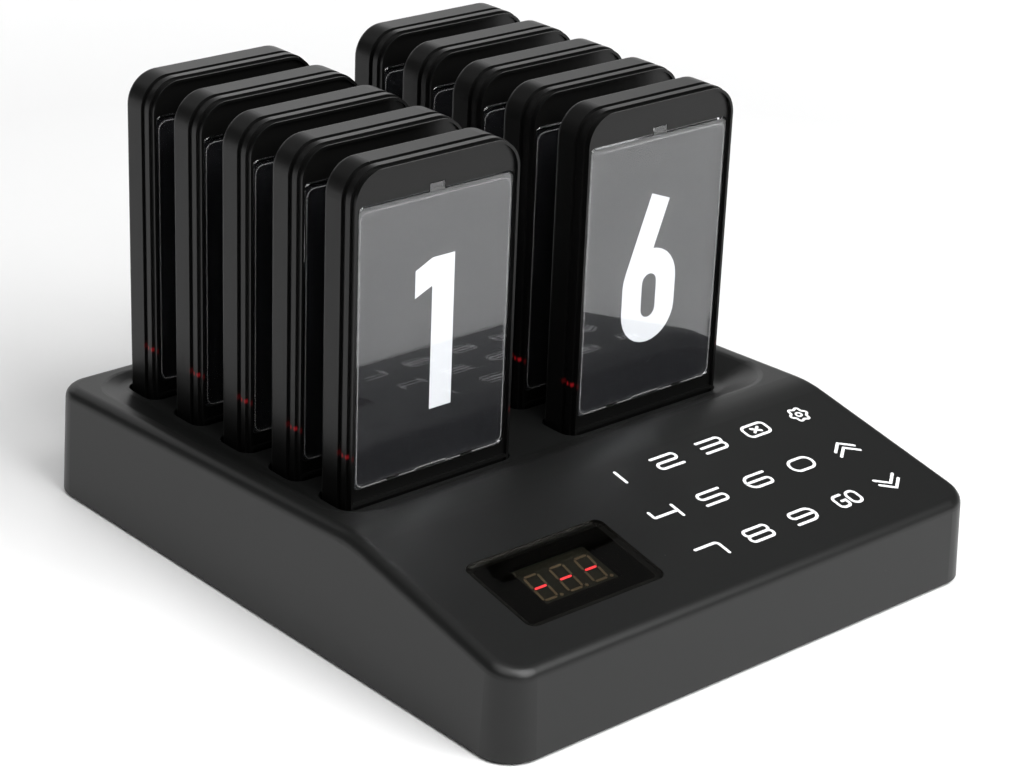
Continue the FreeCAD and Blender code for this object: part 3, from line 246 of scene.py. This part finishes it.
def solder_mask():
    """Green lacquer over tracks: brick edges stand for the tracks, raised a little."""
    material, tree, shader = new_material("solder_mask", Roughness=0.28)
    tracks = add(tree, "ShaderNodeTexBrick", Vector=own_place(tree), Scale=240.0, Mortar_Size=0.04,
                 Color1=(0.010, 0.085, 0.030, 1), Color2=(0.012, 0.095, 0.034, 1),
                 Mortar=(0.03, 0.17, 0.07, 1))
    relief = add(tree, "ShaderNodeBump", Strength=0.4, Distance=TRACK_DEPTH, Height=tracks.outputs["Fac"])
    feed(tree, shader, Base_Color=tracks.outputs["Color"], Normal=relief.outputs[0])
    return material


finish_node(solder_mask(), "charging_board_left", "charging_board_right", "touch_board", "main_board",
            *[f"pager_{n}_circuit" for n in PAGERS])
finish_node(plated("gold_plate", (0.86, 0.62, 0.25), 0.25, 3000.0),
            "charging_pins_left", "charging_pins_right", "antenna")
finish_node(plated("tin_plate", (0.66, 0.66, 0.67), 0.3, 900.0), "radio_module")
COMPONENT_BLACK = moulded("component_black", (0.02, 0.02, 0.02), 0.42)
finish_node(COMPONENT_BLACK, "buzzer")
finish_node(moulded("ribbon_film", (0.68, 0.66, 0.58), 0.4, scale=700.0, dust=0.0), "ribbon_cable")

# ------------------------------------------------------------------ display block and its smoked lens
# A dark resin block with three seven-segment digits and a point each, under a smoked acrylic lens
# that lies flush in the keypad with a black surround behind it. Only the middle bars are lit.
FRONT_Y, FRONT_HEIGHT, BEND_HEIGHT, SLOPE_RUN = -110.75, 27.5, 42.5, 69.75
SLOPE = math.atan2(BEND_HEIGHT - FRONT_HEIGHT, SLOPE_RUN)
ALONG = np.array([0, math.cos(SLOPE), math.sin(SLOPE)])
OUT = np.array([0, -math.sin(SLOPE), math.cos(SLOPE)])
SLOPE_FOOT = np.array([0, FRONT_Y, FRONT_HEIGHT])

DIGIT_CENTRES, DIGIT_UP = (-56.9, -47.45, -38.0), 30.8
DIGIT_WIDE, DIGIT_TALL, DIGIT_LEAN = 5.0, 10.6, math.tan(math.radians(6.6))
SEGMENT_WIDTH, SEGMENT_GAP, MIDDLE_BAR = 0.8, 0.24, 3
POINT_RADIUS, POINT_STEP, POINT_SIDES = 0.58, 1.4, 16
BLOCK_FACE, BAR_SUNK, BAR_PROUD = -3.0, 0.02, 0.05

LENS_MIDDLE, LENS_HALVES, LENS_ROUND = (-48.2, 30.8), (23.4, 12.9), 1.2
OPENING_MIDDLE, OPENING_HALVES, OPENING_ROUND = (-47.55, 31.3), (14.25, 8.5), 0.8
SURROUND_BACK, SURROUND_FRONT = -2.95, -1.54
ARC_STEPS, SAME_POINT = 8, 1e-6


def on_slope(points):
    """Slope coordinates in millimetres to the object's frame in metres.

    The slope's foot, plus across along x, plus up along the slope, plus out along its normal.
    """
    return (SLOPE_FOOT + points[:, :1] * [1, 0, 0] + points[:, 1:2] * ALONG + points[:, 2:] * OUT) * MM


def new_piece(name, body, points, faces, materials, face_materials=None):
    """A mesh object at the origin that rides on a body; the points are in metres."""
    mesh = bpy.data.meshes.new(name)
    mesh.from_pydata(points.tolist(), [], faces)
    for material in materials:
        mesh.materials.append(material)
    if face_materials is not None:
        mesh.polygons.foreach_set("material_index", np.asarray(face_materials, np.int32))
    mesh.update()
    piece = bpy.data.objects.new(name, mesh)
    bpy.context.scene.collection.objects.link(piece)
    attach(piece, body)
    return piece


def raised(lines, levels):
    """Each flat line of points at its own level, one after the other."""
    return np.concatenate([np.column_stack([line, np.full(len(line), level)])
                           for line, level in zip(lines, levels)])


def belts(count, pairs, closed=True):
    """Quads from ring to ring: a point and the next of the first ring, then those two of the second, back."""
    k = np.arange(count if closed else count - 1)
    n = (k + 1) % count
    return np.concatenate([np.column_stack([k + a * count, n + a * count, n + b * count, k + b * count])
                           for a, b in pairs]).tolist()


def slab(outline, low, high):
    """A closed flat plate: the outline is a counterclockwise polygon, low and high are its two levels."""
    k = np.arange(len(outline))
    return (raised([outline, outline], [low, high]),
            [k[::-1].tolist(), (k + len(outline)).tolist()] + belts(len(outline), [(0, 1)]))


def framed(outer, inner, low, high):
    """A closed flat ring between two outlines of as many points, both counterclockwise."""
    return (raised([outer, inner, outer, inner], [low, low, high, high]),
            belts(len(outer), [(0, 2), (3, 1), (2, 3), (1, 0)]))


def joined(parts):
    """Several (points, faces) as one, with the part's number for each face."""
    points, faces, owner, start = [], [], [], 0
    for number, (part_points, part_faces) in enumerate(parts):
        points.append(part_points)
        faces += [[index + start for index in face] for face in part_faces]
        owner += [number] * len(part_faces)
        start += len(part_points)
    return np.concatenate(points), faces, owner


def whole_turn(count):
    """Even angles once round, counterclockwise."""
    return np.linspace(0, 2 * math.pi, count, endpoint=False)


def turned(angles, radius):
    """Points about the origin: the radius times the cosine and sine of each angle."""
    return np.column_stack([np.cos(angles), np.sin(angles)]) * np.reshape(radius, (-1, 1))


def bend(centre, radius, start, end):
    """Points of an arc about a centre, from one angle to another in degrees."""
    return turned(np.radians(np.linspace(start, end, ARC_STEPS)), radius) + centre


def boxed(half_wide, half_tall, radius):
    """A rounded rectangle about the origin, counterclockwise: four quarter arcs, with no point twice."""
    x, y = half_wide - radius, half_tall - radius
    line = np.concatenate([bend((x, -y), radius, -90, 0), bend((x, y), radius, 0, 90),
                           bend((-x, y), radius, 90, 180), bend((-x, -y), radius, 180, 270)])
    return line[np.linalg.norm(line - np.roll(line, 1, 0), axis=1) > SAME_POINT]


def segment(start, end):
    """A bar from one corner of the digit to the next, a gap short of each, whose ends come to a point."""
    start, end = np.array(start), np.array(end)
    run = (end - start) / np.linalg.norm(end - start)
    side = np.array([-run[1], run[0]]) * SEGMENT_WIDTH / 2
    near, far, tip = start + run * SEGMENT_GAP, end - run * SEGMENT_GAP, run * SEGMENT_WIDTH / 2
    return np.array([near, near + tip - side, far - tip - side, far, far - tip + side, near + tip + side])


def digit_outlines():
    """Seven bars and a point about the digit's middle, each x moved by its height times the lean."""
    w, h = DIGIT_WIDE / 2, DIGIT_TALL / 2
    ends = [((-w, h), (w, h)), ((-w, 0), (-w, h)), ((w, 0), (w, h)), ((-w, 0), (w, 0)), ((-w, -h), (-w, 0)),
            ((w, -h), (w, 0)), ((-w, -h), (w, -h))]
    shapes = [segment(*pair) for pair in ends]
    shapes.append(turned(whole_turn(POINT_SIDES), POINT_RADIUS) + [w + POINT_STEP, -h])
    return [shape + np.column_stack([shape[:, 1] * DIGIT_LEAN, np.zeros(len(shape))]) for shape in shapes]


def lit(name, color, strength):
    """A glowing part: light comes almost evenly out of coloured resin."""
    material, tree, shader = new_material(name, Roughness=0.4, Emission_Strength=strength)
    tone = ranged(tree, noise(tree, 1200.0, 2.0), 0.0, 1.0, 0.85, 1.15)
    tint = scaled(tree, color, tone)
    feed(tree, shader, Emission_Color=tint, Base_Color=tint)
    return material


def clear_plastic(name, color, ior=1.49):
    """Clear or tinted plastic: its polish varies a little, and its shadow is light of its own tint."""
    material, tree, shader = new_material(name, ior=ior, Transmission_Weight=1.0, Base_Color=(*color, 1))
    gloss = ranged(tree, noise(tree, 60.0, 2.0), 0.0, 1.0, 0.0, 0.03)
    feed(tree, shader, Roughness=gloss)
    shadow = add(tree, "ShaderNodeLightPath").outputs["Is Shadow Ray"]
    passing = add(tree, "ShaderNodeBsdfTransparent", Color=(*color, 1))
    both = add(tree, "ShaderNodeMixShader", _0=shadow, _1=shader.outputs[0], _2=passing.outputs[0])
    feed(tree, tree.nodes["Material Output"], Surface=both.outputs[0])
    return material


bars, bar_is_lit = [], []
for centre in DIGIT_CENTRES:
    for index, outline in enumerate(digit_outlines()):
        points, faces = slab(outline + [centre, DIGIT_UP], BLOCK_FACE - BAR_SUNK, BLOCK_FACE + BAR_PROUD)
        bars.append((on_slope(points), faces))
        bar_is_lit.append(int(index == MIDDLE_BAR))
points, faces, owner = joined(bars)
segments = new_piece("display_segments", "base", points, faces,
                     [moulded("segment_unlit", (0.36, 0.28, 0.19), 0.5, dust=0.0),
                      lit("segment_lit", (1.0, 0.055, 0.07), 3.4)], np.array(bar_is_lit)[owner])
finish_node(moulded("display_black", (0.05, 0.053, 0.047), 0.6, dust=0.2, Specular_IOR_Level=0.1),
            "display_module")
finish_node(clear_plastic("smoked_acrylic", (0.35, 0.335, 0.3), ior=1.2), "display_lens")

points, faces = framed(boxed(*LENS_HALVES, LENS_ROUND) + LENS_MIDDLE,
                       boxed(*OPENING_HALVES, OPENING_ROUND) + OPENING_MIDDLE, SURROUND_BACK, SURROUND_FRONT)
new_piece("display_surround", "base", on_slope(points), faces,
          [moulded("surround_black", (0.004, 0.004, 0.0036), 0.6, bump=0.0, Specular_IOR_Level=0.0)])

# ------------------------------------------------------------------ key legends
# Thin white screen printing on the keypad, drawn with one rounded stroke width. Fifteen touch keys
# stand in five columns, 19 mm apart, and three rows, 20 mm apart, with no relief of their own.
KEY_COLUMNS, KEY_ROWS = (-2.6, 16.45, 35.45, 54.45, 73.5), (58.0, 37.95, 18.1)
INK_BACK, INK_FRONT = -0.02, 0.03
LAYER = 0.004    # each stroke that crosses another lies this much higher
STROKE = 1.02
END_TURNS = np.radians([18, 36, 54, 70, 84])    # where a round end's points lie on its quarter circle
LEAST_COSINE = 0.5    # keeps the mitre of a sharp corner within twice the half width
W, H = 4.6, 2.7    # half the width and half the height of a symbol
R = H / 2
GEAR_RADIUS, GEAR_TOOTH, GEAR_TEETH, GEAR_STROKE, GEAR_SIDES = 2.95, 0.42, 6, 0.9, 72
AXLE_RADIUS, AXLE_STROKE = 0.95, 0.7
CROSS_WIDE, CROSS_TALL, CROSS_STROKE = 1.4, 1.0, 1.0
LETTER_STEP, LETTER_WIDE = 2.75, 1.95


def stroke(path, width, low, high, closed=False, rounded=True):
    """A thin plate of even width along a path: each side is the path moved by its mitred normal.

    The normal is as long as half the width divided by the cosine of half the turn. A round end goes
    on past the path's end while its half width follows a quarter circle down.
    """
    path = np.asarray(path, float)
    half = np.full(len(path), width / 2)
    if rounded and not closed:
        ends = []
        for tip, inner in ((path[0], path[1]), (path[-1], path[-2])):
            out = (tip - inner) / np.linalg.norm(tip - inner)
            ends.append(tip + out * np.sin(END_TURNS)[:, None] * width / 2)
        path = np.concatenate([ends[0][::-1], path, ends[1]])
        half = np.concatenate([np.cos(END_TURNS)[::-1] * width / 2, half, np.cos(END_TURNS) * width / 2])
    if closed:
        before, after = path - np.roll(path, 1, 0), np.roll(path, -1, 0) - path
    else:
        before = np.diff(path, axis=0, prepend=2 * path[:1] - path[1:2])
        after = np.diff(path, axis=0, append=2 * path[-1:] - path[-2:-1])
    before /= np.linalg.norm(before, axis=1)[:, None]
    after /= np.linalg.norm(after, axis=1)[:, None]
    middle = before + after
    middle /= np.linalg.norm(middle, axis=1)[:, None]
    reach = half / np.maximum((middle * after).sum(1), LEAST_COSINE)
    normal = np.column_stack([-middle[:, 1], middle[:, 0]]) * reach[:, None]
    count = len(path)
    points = raised([path - normal, path - normal, path + normal, path + normal], [low, high, low, high])
    faces = belts(count, [(0, 1), (1, 3), (3, 2), (2, 0)], closed)
    if not closed:
        last = count - 1
        faces += [[0, count, 3 * count, 2 * count], [last, 2 * count + last, 3 * count + last, count + last]]
    return points, faces


def flipped(path):
    """A path given half a turn about the middle: both coordinates change sign."""
    return -np.asarray(path)


S_CURVE = np.concatenate([[(W, H)], bend((R - W, R), R, 90, 270), bend((W - R, -R), R, 90, -90), [(-W, -H)]])
SIX = np.concatenate([[(W, H)], bend((H - W, 0), H, 90, 270), bend((W - R, -R), R, -90, 90), [(0.15 - W, 0)]])
CHEVRON = np.array([(-4.2, -1.55), (0, 1.7), (4.2, -1.55)])
GEAR_TURN = whole_turn(GEAR_SIDES)
GEAR = turned(GEAR_TURN, GEAR_RADIUS + GEAR_TOOTH * np.cos(GEAR_TEETH * GEAR_TURN))
AXLE = turned(GEAR_TURN, AXLE_RADIUS)
LETTER_G = np.concatenate([[(1.9, H)], bend((-0.4, H - 1.55), 1.55, 90, 180),
                           bend((-0.4, 1.55 - H), 1.55, 180, 270), bend((0.65, 1.3 - H), 1.3, 270, 360),
                           [(LETTER_WIDE, 0), (0.35, 0)]])
# Open lines by (row, column): the digits 1 to 7 and 9, the two scroll keys, and the G of GO.
LEGENDS = {
    (0, 0): [[(0, -H), (0, H)]],
    (0, 1): [S_CURVE * [-1, 1]],
    (0, 2): [np.concatenate([[(-W, H)], bend((W - R, R), R, 90, -90), [(-W, 0)]]),
             np.concatenate([bend((W - R, -R), R, 90, -90), [(-W, -H)]])],
    (1, 0): [np.concatenate([[(-W, H)], bend((0.5 - W, 0.4), 0.5, 180, 270), [(W, -0.1)]]),
             [(W, -H), (W, H)]],
    (1, 1): [S_CURVE],
    (1, 2): [SIX],
    (2, 0): [np.concatenate([[(0.3 - W, H)], bend((W - 1.6, H - 1.4), 1.4, 90, 0), [(W - 0.2, -H)]])],
    (2, 2): [flipped(SIX)],
    (1, 4): [CHEVRON + [0, 1.15], CHEVRON - [0, 1.45]],
    (2, 4): [flipped(CHEVRON + [0, 1.1]), flipped(CHEVRON - [0, 1.45])],
    (2, 3): [LETTER_G - [LETTER_STEP, 0]],
}
# Closed lines by (row, column): the clear key's box, the gear, 0, 8, and the O of GO.
LOOPS = {
    (0, 3): [(boxed(W, H, 1.7), STROKE)],
    (0, 4): [(GEAR, GEAR_STROKE), (AXLE, AXLE_STROKE)],
    (1, 3): [(boxed(W, H, H), STROKE)],
    (2, 1): [(boxed(W, R, R) + [0, R], STROKE), (boxed(W, R, R) - [0, R], STROKE)],
    (2, 3): [(boxed(LETTER_WIDE, H, 1.8) + [LETTER_STEP, 0], STROKE)],
}
printed = []
for (row, column), paths in LEGENDS.items():
    printed += [(row, column, stroke(path, STROKE, INK_BACK, INK_FRONT + k * LAYER))
                for k, path in enumerate(paths)]
for (row, column), paths in LOOPS.items():
    printed += [(row, column, stroke(path, width, INK_BACK, INK_FRONT + k * LAYER, closed=True))
                for k, (path, width) in enumerate(paths)]
for slant in (-1, 1):
    arm = [(-CROSS_WIDE, -slant * CROSS_TALL), (CROSS_WIDE, slant * CROSS_TALL)]
    printed.append((0, 3, stroke(arm, CROSS_STROKE, INK_BACK, INK_FRONT + slant * LAYER)))
points, faces, _ = joined([(on_slope(points + [KEY_COLUMNS[column], KEY_ROWS[row], 0]), faces)
                           for row, column, (points, faces) in printed])
WHITE_INK = moulded("white_ink", (0.86, 0.87, 0.88), 0.45, scale=5000.0, cloud=0.05, dust=0.0)
new_piece("key_legends", "base", points, faces, [WHITE_INK])

# ------------------------------------------------------------------ power inlet and rocker switch
# A black barrel inlet and a rocker switch in a sunken panel of the back wall. The rocker is polished
# resin, with a white bar and ring printed on its two halves.
PANEL_UP = (0, -0.0419, 0.9991)
MARK_STROKE, MARK_BACK, MARK_FRONT, MARK_WIDE, MARK_TALL = 0.7, -0.03, 0.02, 1.5, 2.1
# The rocker's two halves: the middle of each one's face, and the way it faces.
BAR_HALF = ((-61.38, 107.85, 16.89), (0.3846, 0.9222, 0.0387))
RING_HALF = ((-53.87, 106.66, 16.84), (-0.0771, 0.9961, 0.0417))

finish_node(COMPONENT_BLACK, "power_jack", "power_switch_housing")
finish_node(moulded("rocker_gloss", (0.006, 0.006, 0.006), 0.14, bump=0.03, dust=0.2), "power_switch_rocker")
marks = []
for (middle, facing), line, closed in ((BAR_HALF, [(0, -MARK_TALL), (0, MARK_TALL)], False),
                                       (RING_HALF, boxed(MARK_WIDE, MARK_TALL, MARK_WIDE), True)):
    outward = np.array(facing) / np.linalg.norm(facing)
    side = np.cross(PANEL_UP, outward)
    upward = np.cross(outward, side)
    points, faces = stroke(line, MARK_STROKE, MARK_BACK, MARK_FRONT, closed)
    points = middle + points[:, :1] * side + points[:, 1:2] * upward + points[:, 2:] * outward
    marks.append((points * MM, faces))
points, faces, _ = joined(marks)
new_piece("power_switch_marks", "rocker", points, faces, [WHITE_INK])

# ------------------------------------------------------------------ pager casings
# Two satin black mouldings, with dark grooves and a rib between them. The red charging light on
# the board inside is painted as a faint red glow on the casing at both sides, at the seams.
COLUMN_X, FIRST_ROW, ROW_STEP, PAGER_SEAT = 43.65, -9.2, 24.4, 25.5
SIDE_EDGE, RIB_AHEAD = 29.3, 4.1    # side faces lie further out than this, and the rib this far forward
LAMP_HEIGHT, GLOW_STRETCH = 51.2, 1.3
GLOW_SPOTS = ((0.85, 0.9, 0.42), (3.05, 1.1, 0.07))    # distance from the rib's middle, size, strength
GLOW_RED = (0.42, 0.009, 0.014)


def length_of(tree, vector):
    """The length of a vector."""
    return add(tree, "ShaderNodeVectorMath", {"operation": "LENGTH"}, _0=vector).outputs["Value"]


def make_glow_group():
    """How much painted red glow a point gets: spots on the edges of the rib, weaker ones past the grooves.

    A point's place in its pager comes from wrapping x and y by the pitch. With d the distance along
    y from the rib's middle and h the height above the lamp, a spot falls off smoothly with the
    length of (|d| - its own distance, h / stretch), to nothing at its size.
    """
    group, _, outlet = new_group("side_glow", [], [("Mask", "NodeSocketFloat")])
    x, y, z = add(group, "ShaderNodeSeparateXYZ", Vector=own_place(group)).outputs
    across = worked(group, "WRAP", x, 0.0, 2 * COLUMN_X * MM)
    across = worked(group, "ABSOLUTE", worked(group, "SUBTRACT", across, COLUMN_X * MM))
    outside = worked(group, "GREATER_THAN", across, SIDE_EDGE * MM)
    along = worked(group, "SUBTRACT", y, FIRST_ROW * MM)
    along = worked(group, "WRAP", along, ROW_STEP / 2 * MM, -ROW_STEP / 2 * MM)
    along = worked(group, "ABSOLUTE", worked(group, "ADD", along, RIB_AHEAD * MM))
    rise = worked(group, "DIVIDE", worked(group, "SUBTRACT", z, LAMP_HEIGHT * MM), GLOW_STRETCH)
    spots = []
    for away, size, strength in GLOW_SPOTS:
        offset = add(group, "ShaderNodeCombineXYZ", X=worked(group, "SUBTRACT", along, away * MM), Y=rise)
        far = length_of(group, offset.outputs[0])
        spots.append(ranged(group, far, 0.0, size * MM, strength, 0.0, easing="SMOOTHERSTEP"))
    feed(group, outlet, Mask=worked(group, "MULTIPLY", worked(group, "MAXIMUM", *spots), outside))
    return group


GLOW = make_glow_group()


def casing(name, color, roughness, **values):
    """Moulded plastic with a painted red glow at its seams, where the charging light seeps out."""
    material = moulded(name, color, roughness, Specular_IOR_Level=0.25, Emission_Strength=1.0, **values)
    tree = material.node_tree
    seep = add(tree, "ShaderNodeGroup", {"node_tree": GLOW})
    feed(tree, tree.nodes["Principled BSDF"], Emission_Color=scaled(tree, GLOW_RED, seep.outputs["Mask"]))
    return material


finish_node(casing("pager_rear_black", (0.0036, 0.0036, 0.0035), 0.3, bump=0.08, dust=0.7),
            *[f"pager_{n}_rear_shell" for n in PAGERS])
finish_node(casing("pager_front_black", (0.003, 0.003, 0.0029), 0.25, bump=0.05, dust=0.6),
            *[f"pager_{n}_front_frame" for n in PAGERS])

# ------------------------------------------------------------------ number cards
# A thin black printed card lies behind each window, with the pager's number in heavy condensed
# white figures. It is drawn about the middle of the pager's bottom edge.
CARD_WIDE, CARD_LOW, CARD_HIGH, CARD_ROUND = 56.4, 14.95, 100.3, 1.4
CARD_BACK, CARD_FRONT, CARD_INK = 4.35, 4.58, 0.02
CARD_LINE = boxed(CARD_WIDE / 2, (CARD_HIGH - CARD_LOW) / 2, CARD_ROUND) + [0, (CARD_HIGH + CARD_LOW) / 2]
FIGURE_BOLD, FIGURE_LOW, FIGURE_HIGH = 8.2, 32.9, 80.4
FIGURE_WIDE, PAIR_WIDE, PAIR_GAP = 22.4, 19.4, 2.2
FLAG = np.array([(3.4, FIGURE_HIGH), (-0.2, FIGURE_HIGH), (-6.5, 77.5),
                 (-6.5, 69.0), (-0.7, 71.5), (3.4, 73.0)])    # the stroke's start on a 1


def on_pager(number, points):
    """Pager coordinates (across, up, towards the keypad) in millimetres to the object's frame in metres.

    Across is added to the column's x, up to the seat's height, and towards the keypad is taken from
    the row's y.
    """
    column, row = divmod(number - 1, 5)
    across, along = COLUMN_X * (2 * column - 1), FIRST_ROW + ROW_STEP * row
    return np.column_stack([points[:, 0] + across, along - points[:, 2], points[:, 1] + PAGER_SEAT]) * MM


def figure_strokes(figure, wide):
    """Centre lines of one figure as (path, closed), in a box of that width about its own middle.

    Bowls are half circles with straight runs between them. Small offsets in millimetres lengthen a
    bar or move a corner, which gives each figure its own shape.
    """
    half = (wide - FIGURE_BOLD) / 2
    low, high = FIGURE_LOW + FIGURE_BOLD / 2, FIGURE_HIGH - FIGURE_BOLD / 2
    mid, rise = (low + high) / 2, high - low
    lower, upper = mid - 0.2 * rise, mid + 0.2 * rise
    top, bottom = high + FIGURE_BOLD / 2, low - FIGURE_BOLD / 2

    def ring(start, end):
        """A closed bowl between two levels."""
        return boxed(half, (end - start) / 2, half) + [0, (start + end) / 2], True

    def run(*points):
        """An open line."""
        return points, False

    hook = [(-half, mid + 0.27 * rise), *bend((0, high - half), half, 180, 0)]
    foot = bend((0, low + half), half, 0, -180)
    six = [ring(low, mid + 3.0), run((4.4 - FIGURE_BOLD * 0.18, top), (-half + 0.6, mid - 1.0))]
    return {
        "0": [ring(low, high)],
        "1": [run((0.6 * half - 0.3, bottom), (0.6 * half - 0.3, top))],
        "2": [run(*hook, (half, upper - 1.0), (-half, low + 1.5)),
              run((-half - 4.1, low), (half + 4.1, low))],
        "3": [run(*hook, *bend((0, mid + half), half, 0, -90)),
              run(*bend((0, mid - half), half, 90, 0), *foot, (-half, mid - 0.27 * rise))],
        "4": [run((-1.5, top), (-half - 1.5, lower - 1.0)),
              run((-half - 5.0, lower - 3.5), (half + 4.6, lower - 3.5)),
              run((half - 2.5, bottom), (half - 2.5, mid + 2.0))],
        "5": [run((half + 3.0, high), (-half, high), (-half, mid)),
              run((-half, mid + 1.5), *bend((0, mid + 3.0 - half), half, 90, 0), *foot,
                  (-half, mid - 0.25 * rise))],
        "6": six,
        "7": [run((-half - 4.1, high), (half + 4.1, high)),
              run((half - 0.2, high + 2.0), (-half * 0.45, bottom))],
        "8": [ring(low, mid), ring(mid, high)],
        "9": [(flipped(path[::-1]) + [0, low + high], closed) for path, closed in six],
    }[figure]


CARD_MATERIALS = [moulded("card_black", (0.010, 0.010, 0.011), 0.12, bump=0.0, cloud=0.3, dust=0.0),
                  moulded("card_ink", (0.62, 0.62, 0.63), 0.3, bump=0.0, cloud=0.02, dust=0.0)]
for number in PAGERS:
    parts, figures = [slab(CARD_LINE, CARD_BACK, CARD_FRONT)], str(number)
    wide = FIGURE_WIDE if len(figures) == 1 else PAIR_WIDE
    for place, figure in enumerate(figures):
        shift = (place - (len(figures) - 1) / 2) * (wide + PAIR_GAP)
        for k, (path, closed) in enumerate(figure_strokes(figure, wide)):
            parts.append(stroke(np.asarray(path) + [shift, 0], FIGURE_BOLD, CARD_FRONT,
                                CARD_FRONT + CARD_INK + k * LAYER, closed, rounded=False))
        if figure == "1":
            parts.append(slab(FLAG + [shift, 0], CARD_FRONT, CARD_FRONT + CARD_INK + 2 * LAYER))
    points, faces, owner = joined(parts)
    new_piece(f"pager_{number}_card", f"pager_{number}", on_pager(number, points), faces, CARD_MATERIALS,
              np.minimum(owner, 1))

# ------------------------------------------------------------------ pager windows
# A clear acrylic cover clips over each number card. It has a bevelled edge, a finger pull at the
# top and two notches for the hooks below. A hair-thin raised line runs round its face at the recess
# edge, and its pale, faint colour is a painted highlight of that edge.
BEAD_SIDE, BEAD_LOW, BEAD_HIGH, BEAD_ROUND = 27.6, 15.15, 99.5, 2.8
BEAD_WIDTH, BEAD_BACK, BEAD_FRONT = 0.26, 6.15, 6.27
HOOK_OUTER, HOOK_INNER, STEP_UP = 16.4, 11.6, 0.5
BEND_X, BEND_LOW, BEND_HIGH = BEAD_SIDE - BEAD_ROUND, BEAD_LOW + BEAD_ROUND, BEAD_HIGH - BEAD_ROUND
BEADS = [np.concatenate([[(HOOK_OUTER, BEAD_LOW)],
                         bend((BEND_X, BEND_LOW), BEAD_ROUND, -90, 0),
                         bend((BEND_X, BEND_HIGH), BEAD_ROUND, 0, 90),
                         bend((-BEND_X, BEND_HIGH), BEAD_ROUND, 90, 180),
                         bend((-BEND_X, BEND_LOW), BEAD_ROUND, 180, 270), [(-HOOK_OUTER, BEAD_LOW)]]),
         np.array([(-HOOK_INNER, BEAD_LOW), (-5.6, BEAD_LOW), (-5.2, BEAD_LOW + STEP_UP),
                   (5.7, BEAD_LOW + STEP_UP), (6.1, BEAD_LOW), (HOOK_INNER, BEAD_LOW)])]

finish_node(clear_plastic("clear_acrylic", (0.94, 0.95, 0.96)), *[f"pager_{n}_window" for n in PAGERS])
# the raised line's pale colour at low alpha is a painted highlight of the window's recess edge
painted_bead_highlight = moulded("window_bead_painted_highlight", (0.9, 0.9, 0.9), 0.6, bump=0.0, cloud=0.4, dust=0.0, Alpha=0.13,
               Specular_IOR_Level=0.0)
points, faces, _ = joined([stroke(line, BEAD_WIDTH, BEAD_BACK, BEAD_FRONT) for line in BEADS])
for number in PAGERS:
    new_piece(f"pager_{number}_bead", f"pager_{number}", on_pager(number, points), faces, [painted_bead_highlight])

# ------------------------------------------------------------------ floor and light
# A broad soft key light from the front right, a fill from the left, and four weaker lamps for the
# tops, the far edges and the floor behind. The plain pale floor glows a little far off, where it
# meets a pale horizon, and the sky above that is dim.
LAMPS = (  # name, place, aim, size and power, in metres and watts
    ("key_light", (0.25, -1.15, 1.2), (0.1, -0.1, 0), 1.2, 37),
    ("fill_light", (-0.9, -0.6, 1.8), (0, 0, 0), 1.6, 22),
    ("high_light", (1.3, 0.75, 1.35), (0, 0, 0), 1.8, 1.3),
    ("top_light", (0.1, 0.1, 2.0), (0, 0.01, 0), 1.2, 2.5),
    ("rim_light", (1.2, 1.3, 0.5), (0, 0, 0.08), 0.8, 1.5),
    ("floor_light", (0.4, 2.0, 0.7), (0.4, 1.9, 0), 1.8, 11),
)
HORIZON, HIGH_UP, HORIZON_GLOW, SKY_GLOW = 0.06, 0.2, 0.25, 0.053
GLOW_START, GLOW_FULL, FLOOR_GLOW = 0.45, 1.6, 0.8
FLOOR_REACH = 8.0


def soft_light(name, place, aim, size, power):
    """A square area light at a place, whose back points away from the aim."""
    lamp = bpy.data.lights.new(name, "AREA")
    lamp.size, lamp.energy = size, power
    light = bpy.data.objects.new(name, lamp)
    light.visible_camera = False
    bpy.context.scene.collection.objects.link(light)
    towards = np.array(aim) - place
    back = -towards / np.linalg.norm(towards)
    light.matrix_world = standing(*level_axes(back), back, place)


for lamp in LAMPS:
    soft_light(*lamp)

world = bpy.data.worlds.new("surround")
bpy.context.scene.world = world
world.use_nodes = True
tree = world.node_tree
surround = tree.nodes["Background"]
surround.inputs["Color"].default_value = (1, 1, 1, 1)
way = add(tree, "ShaderNodeSeparateXYZ", Vector=add(tree, "ShaderNodeTexCoord").outputs["Generated"])
feed(tree, surround, Strength=ranged(tree, way.outputs["Z"], HORIZON, HIGH_UP, HORIZON_GLOW, SKY_GLOW))
bpy.context.scene.view_settings.view_transform = "Standard"

pale, tree, shader = new_material("pale_floor", Roughness=0.6, Emission_Strength=1.0,
                                  Base_Color=(0.9, 0.9, 0.9, 1))
away = length_of(tree, own_place(tree))
feed(tree, shader, Emission_Color=ranged(tree, away, GLOW_START, GLOW_FULL, 0.0, FLOOR_GLOW))
mesh = bpy.data.meshes.new("floor")
mesh.from_pydata([(FLOOR_REACH * x, FLOOR_REACH * y, 0) for x, y in ((-1, -1), (1, -1), (1, 1), (-1, 1))], [],
                 [(0, 1, 2, 3)])
mesh.materials.append(pale)
floor = bpy.data.objects.new("floor", mesh)
bpy.context.scene.collection.objects.link(floor)
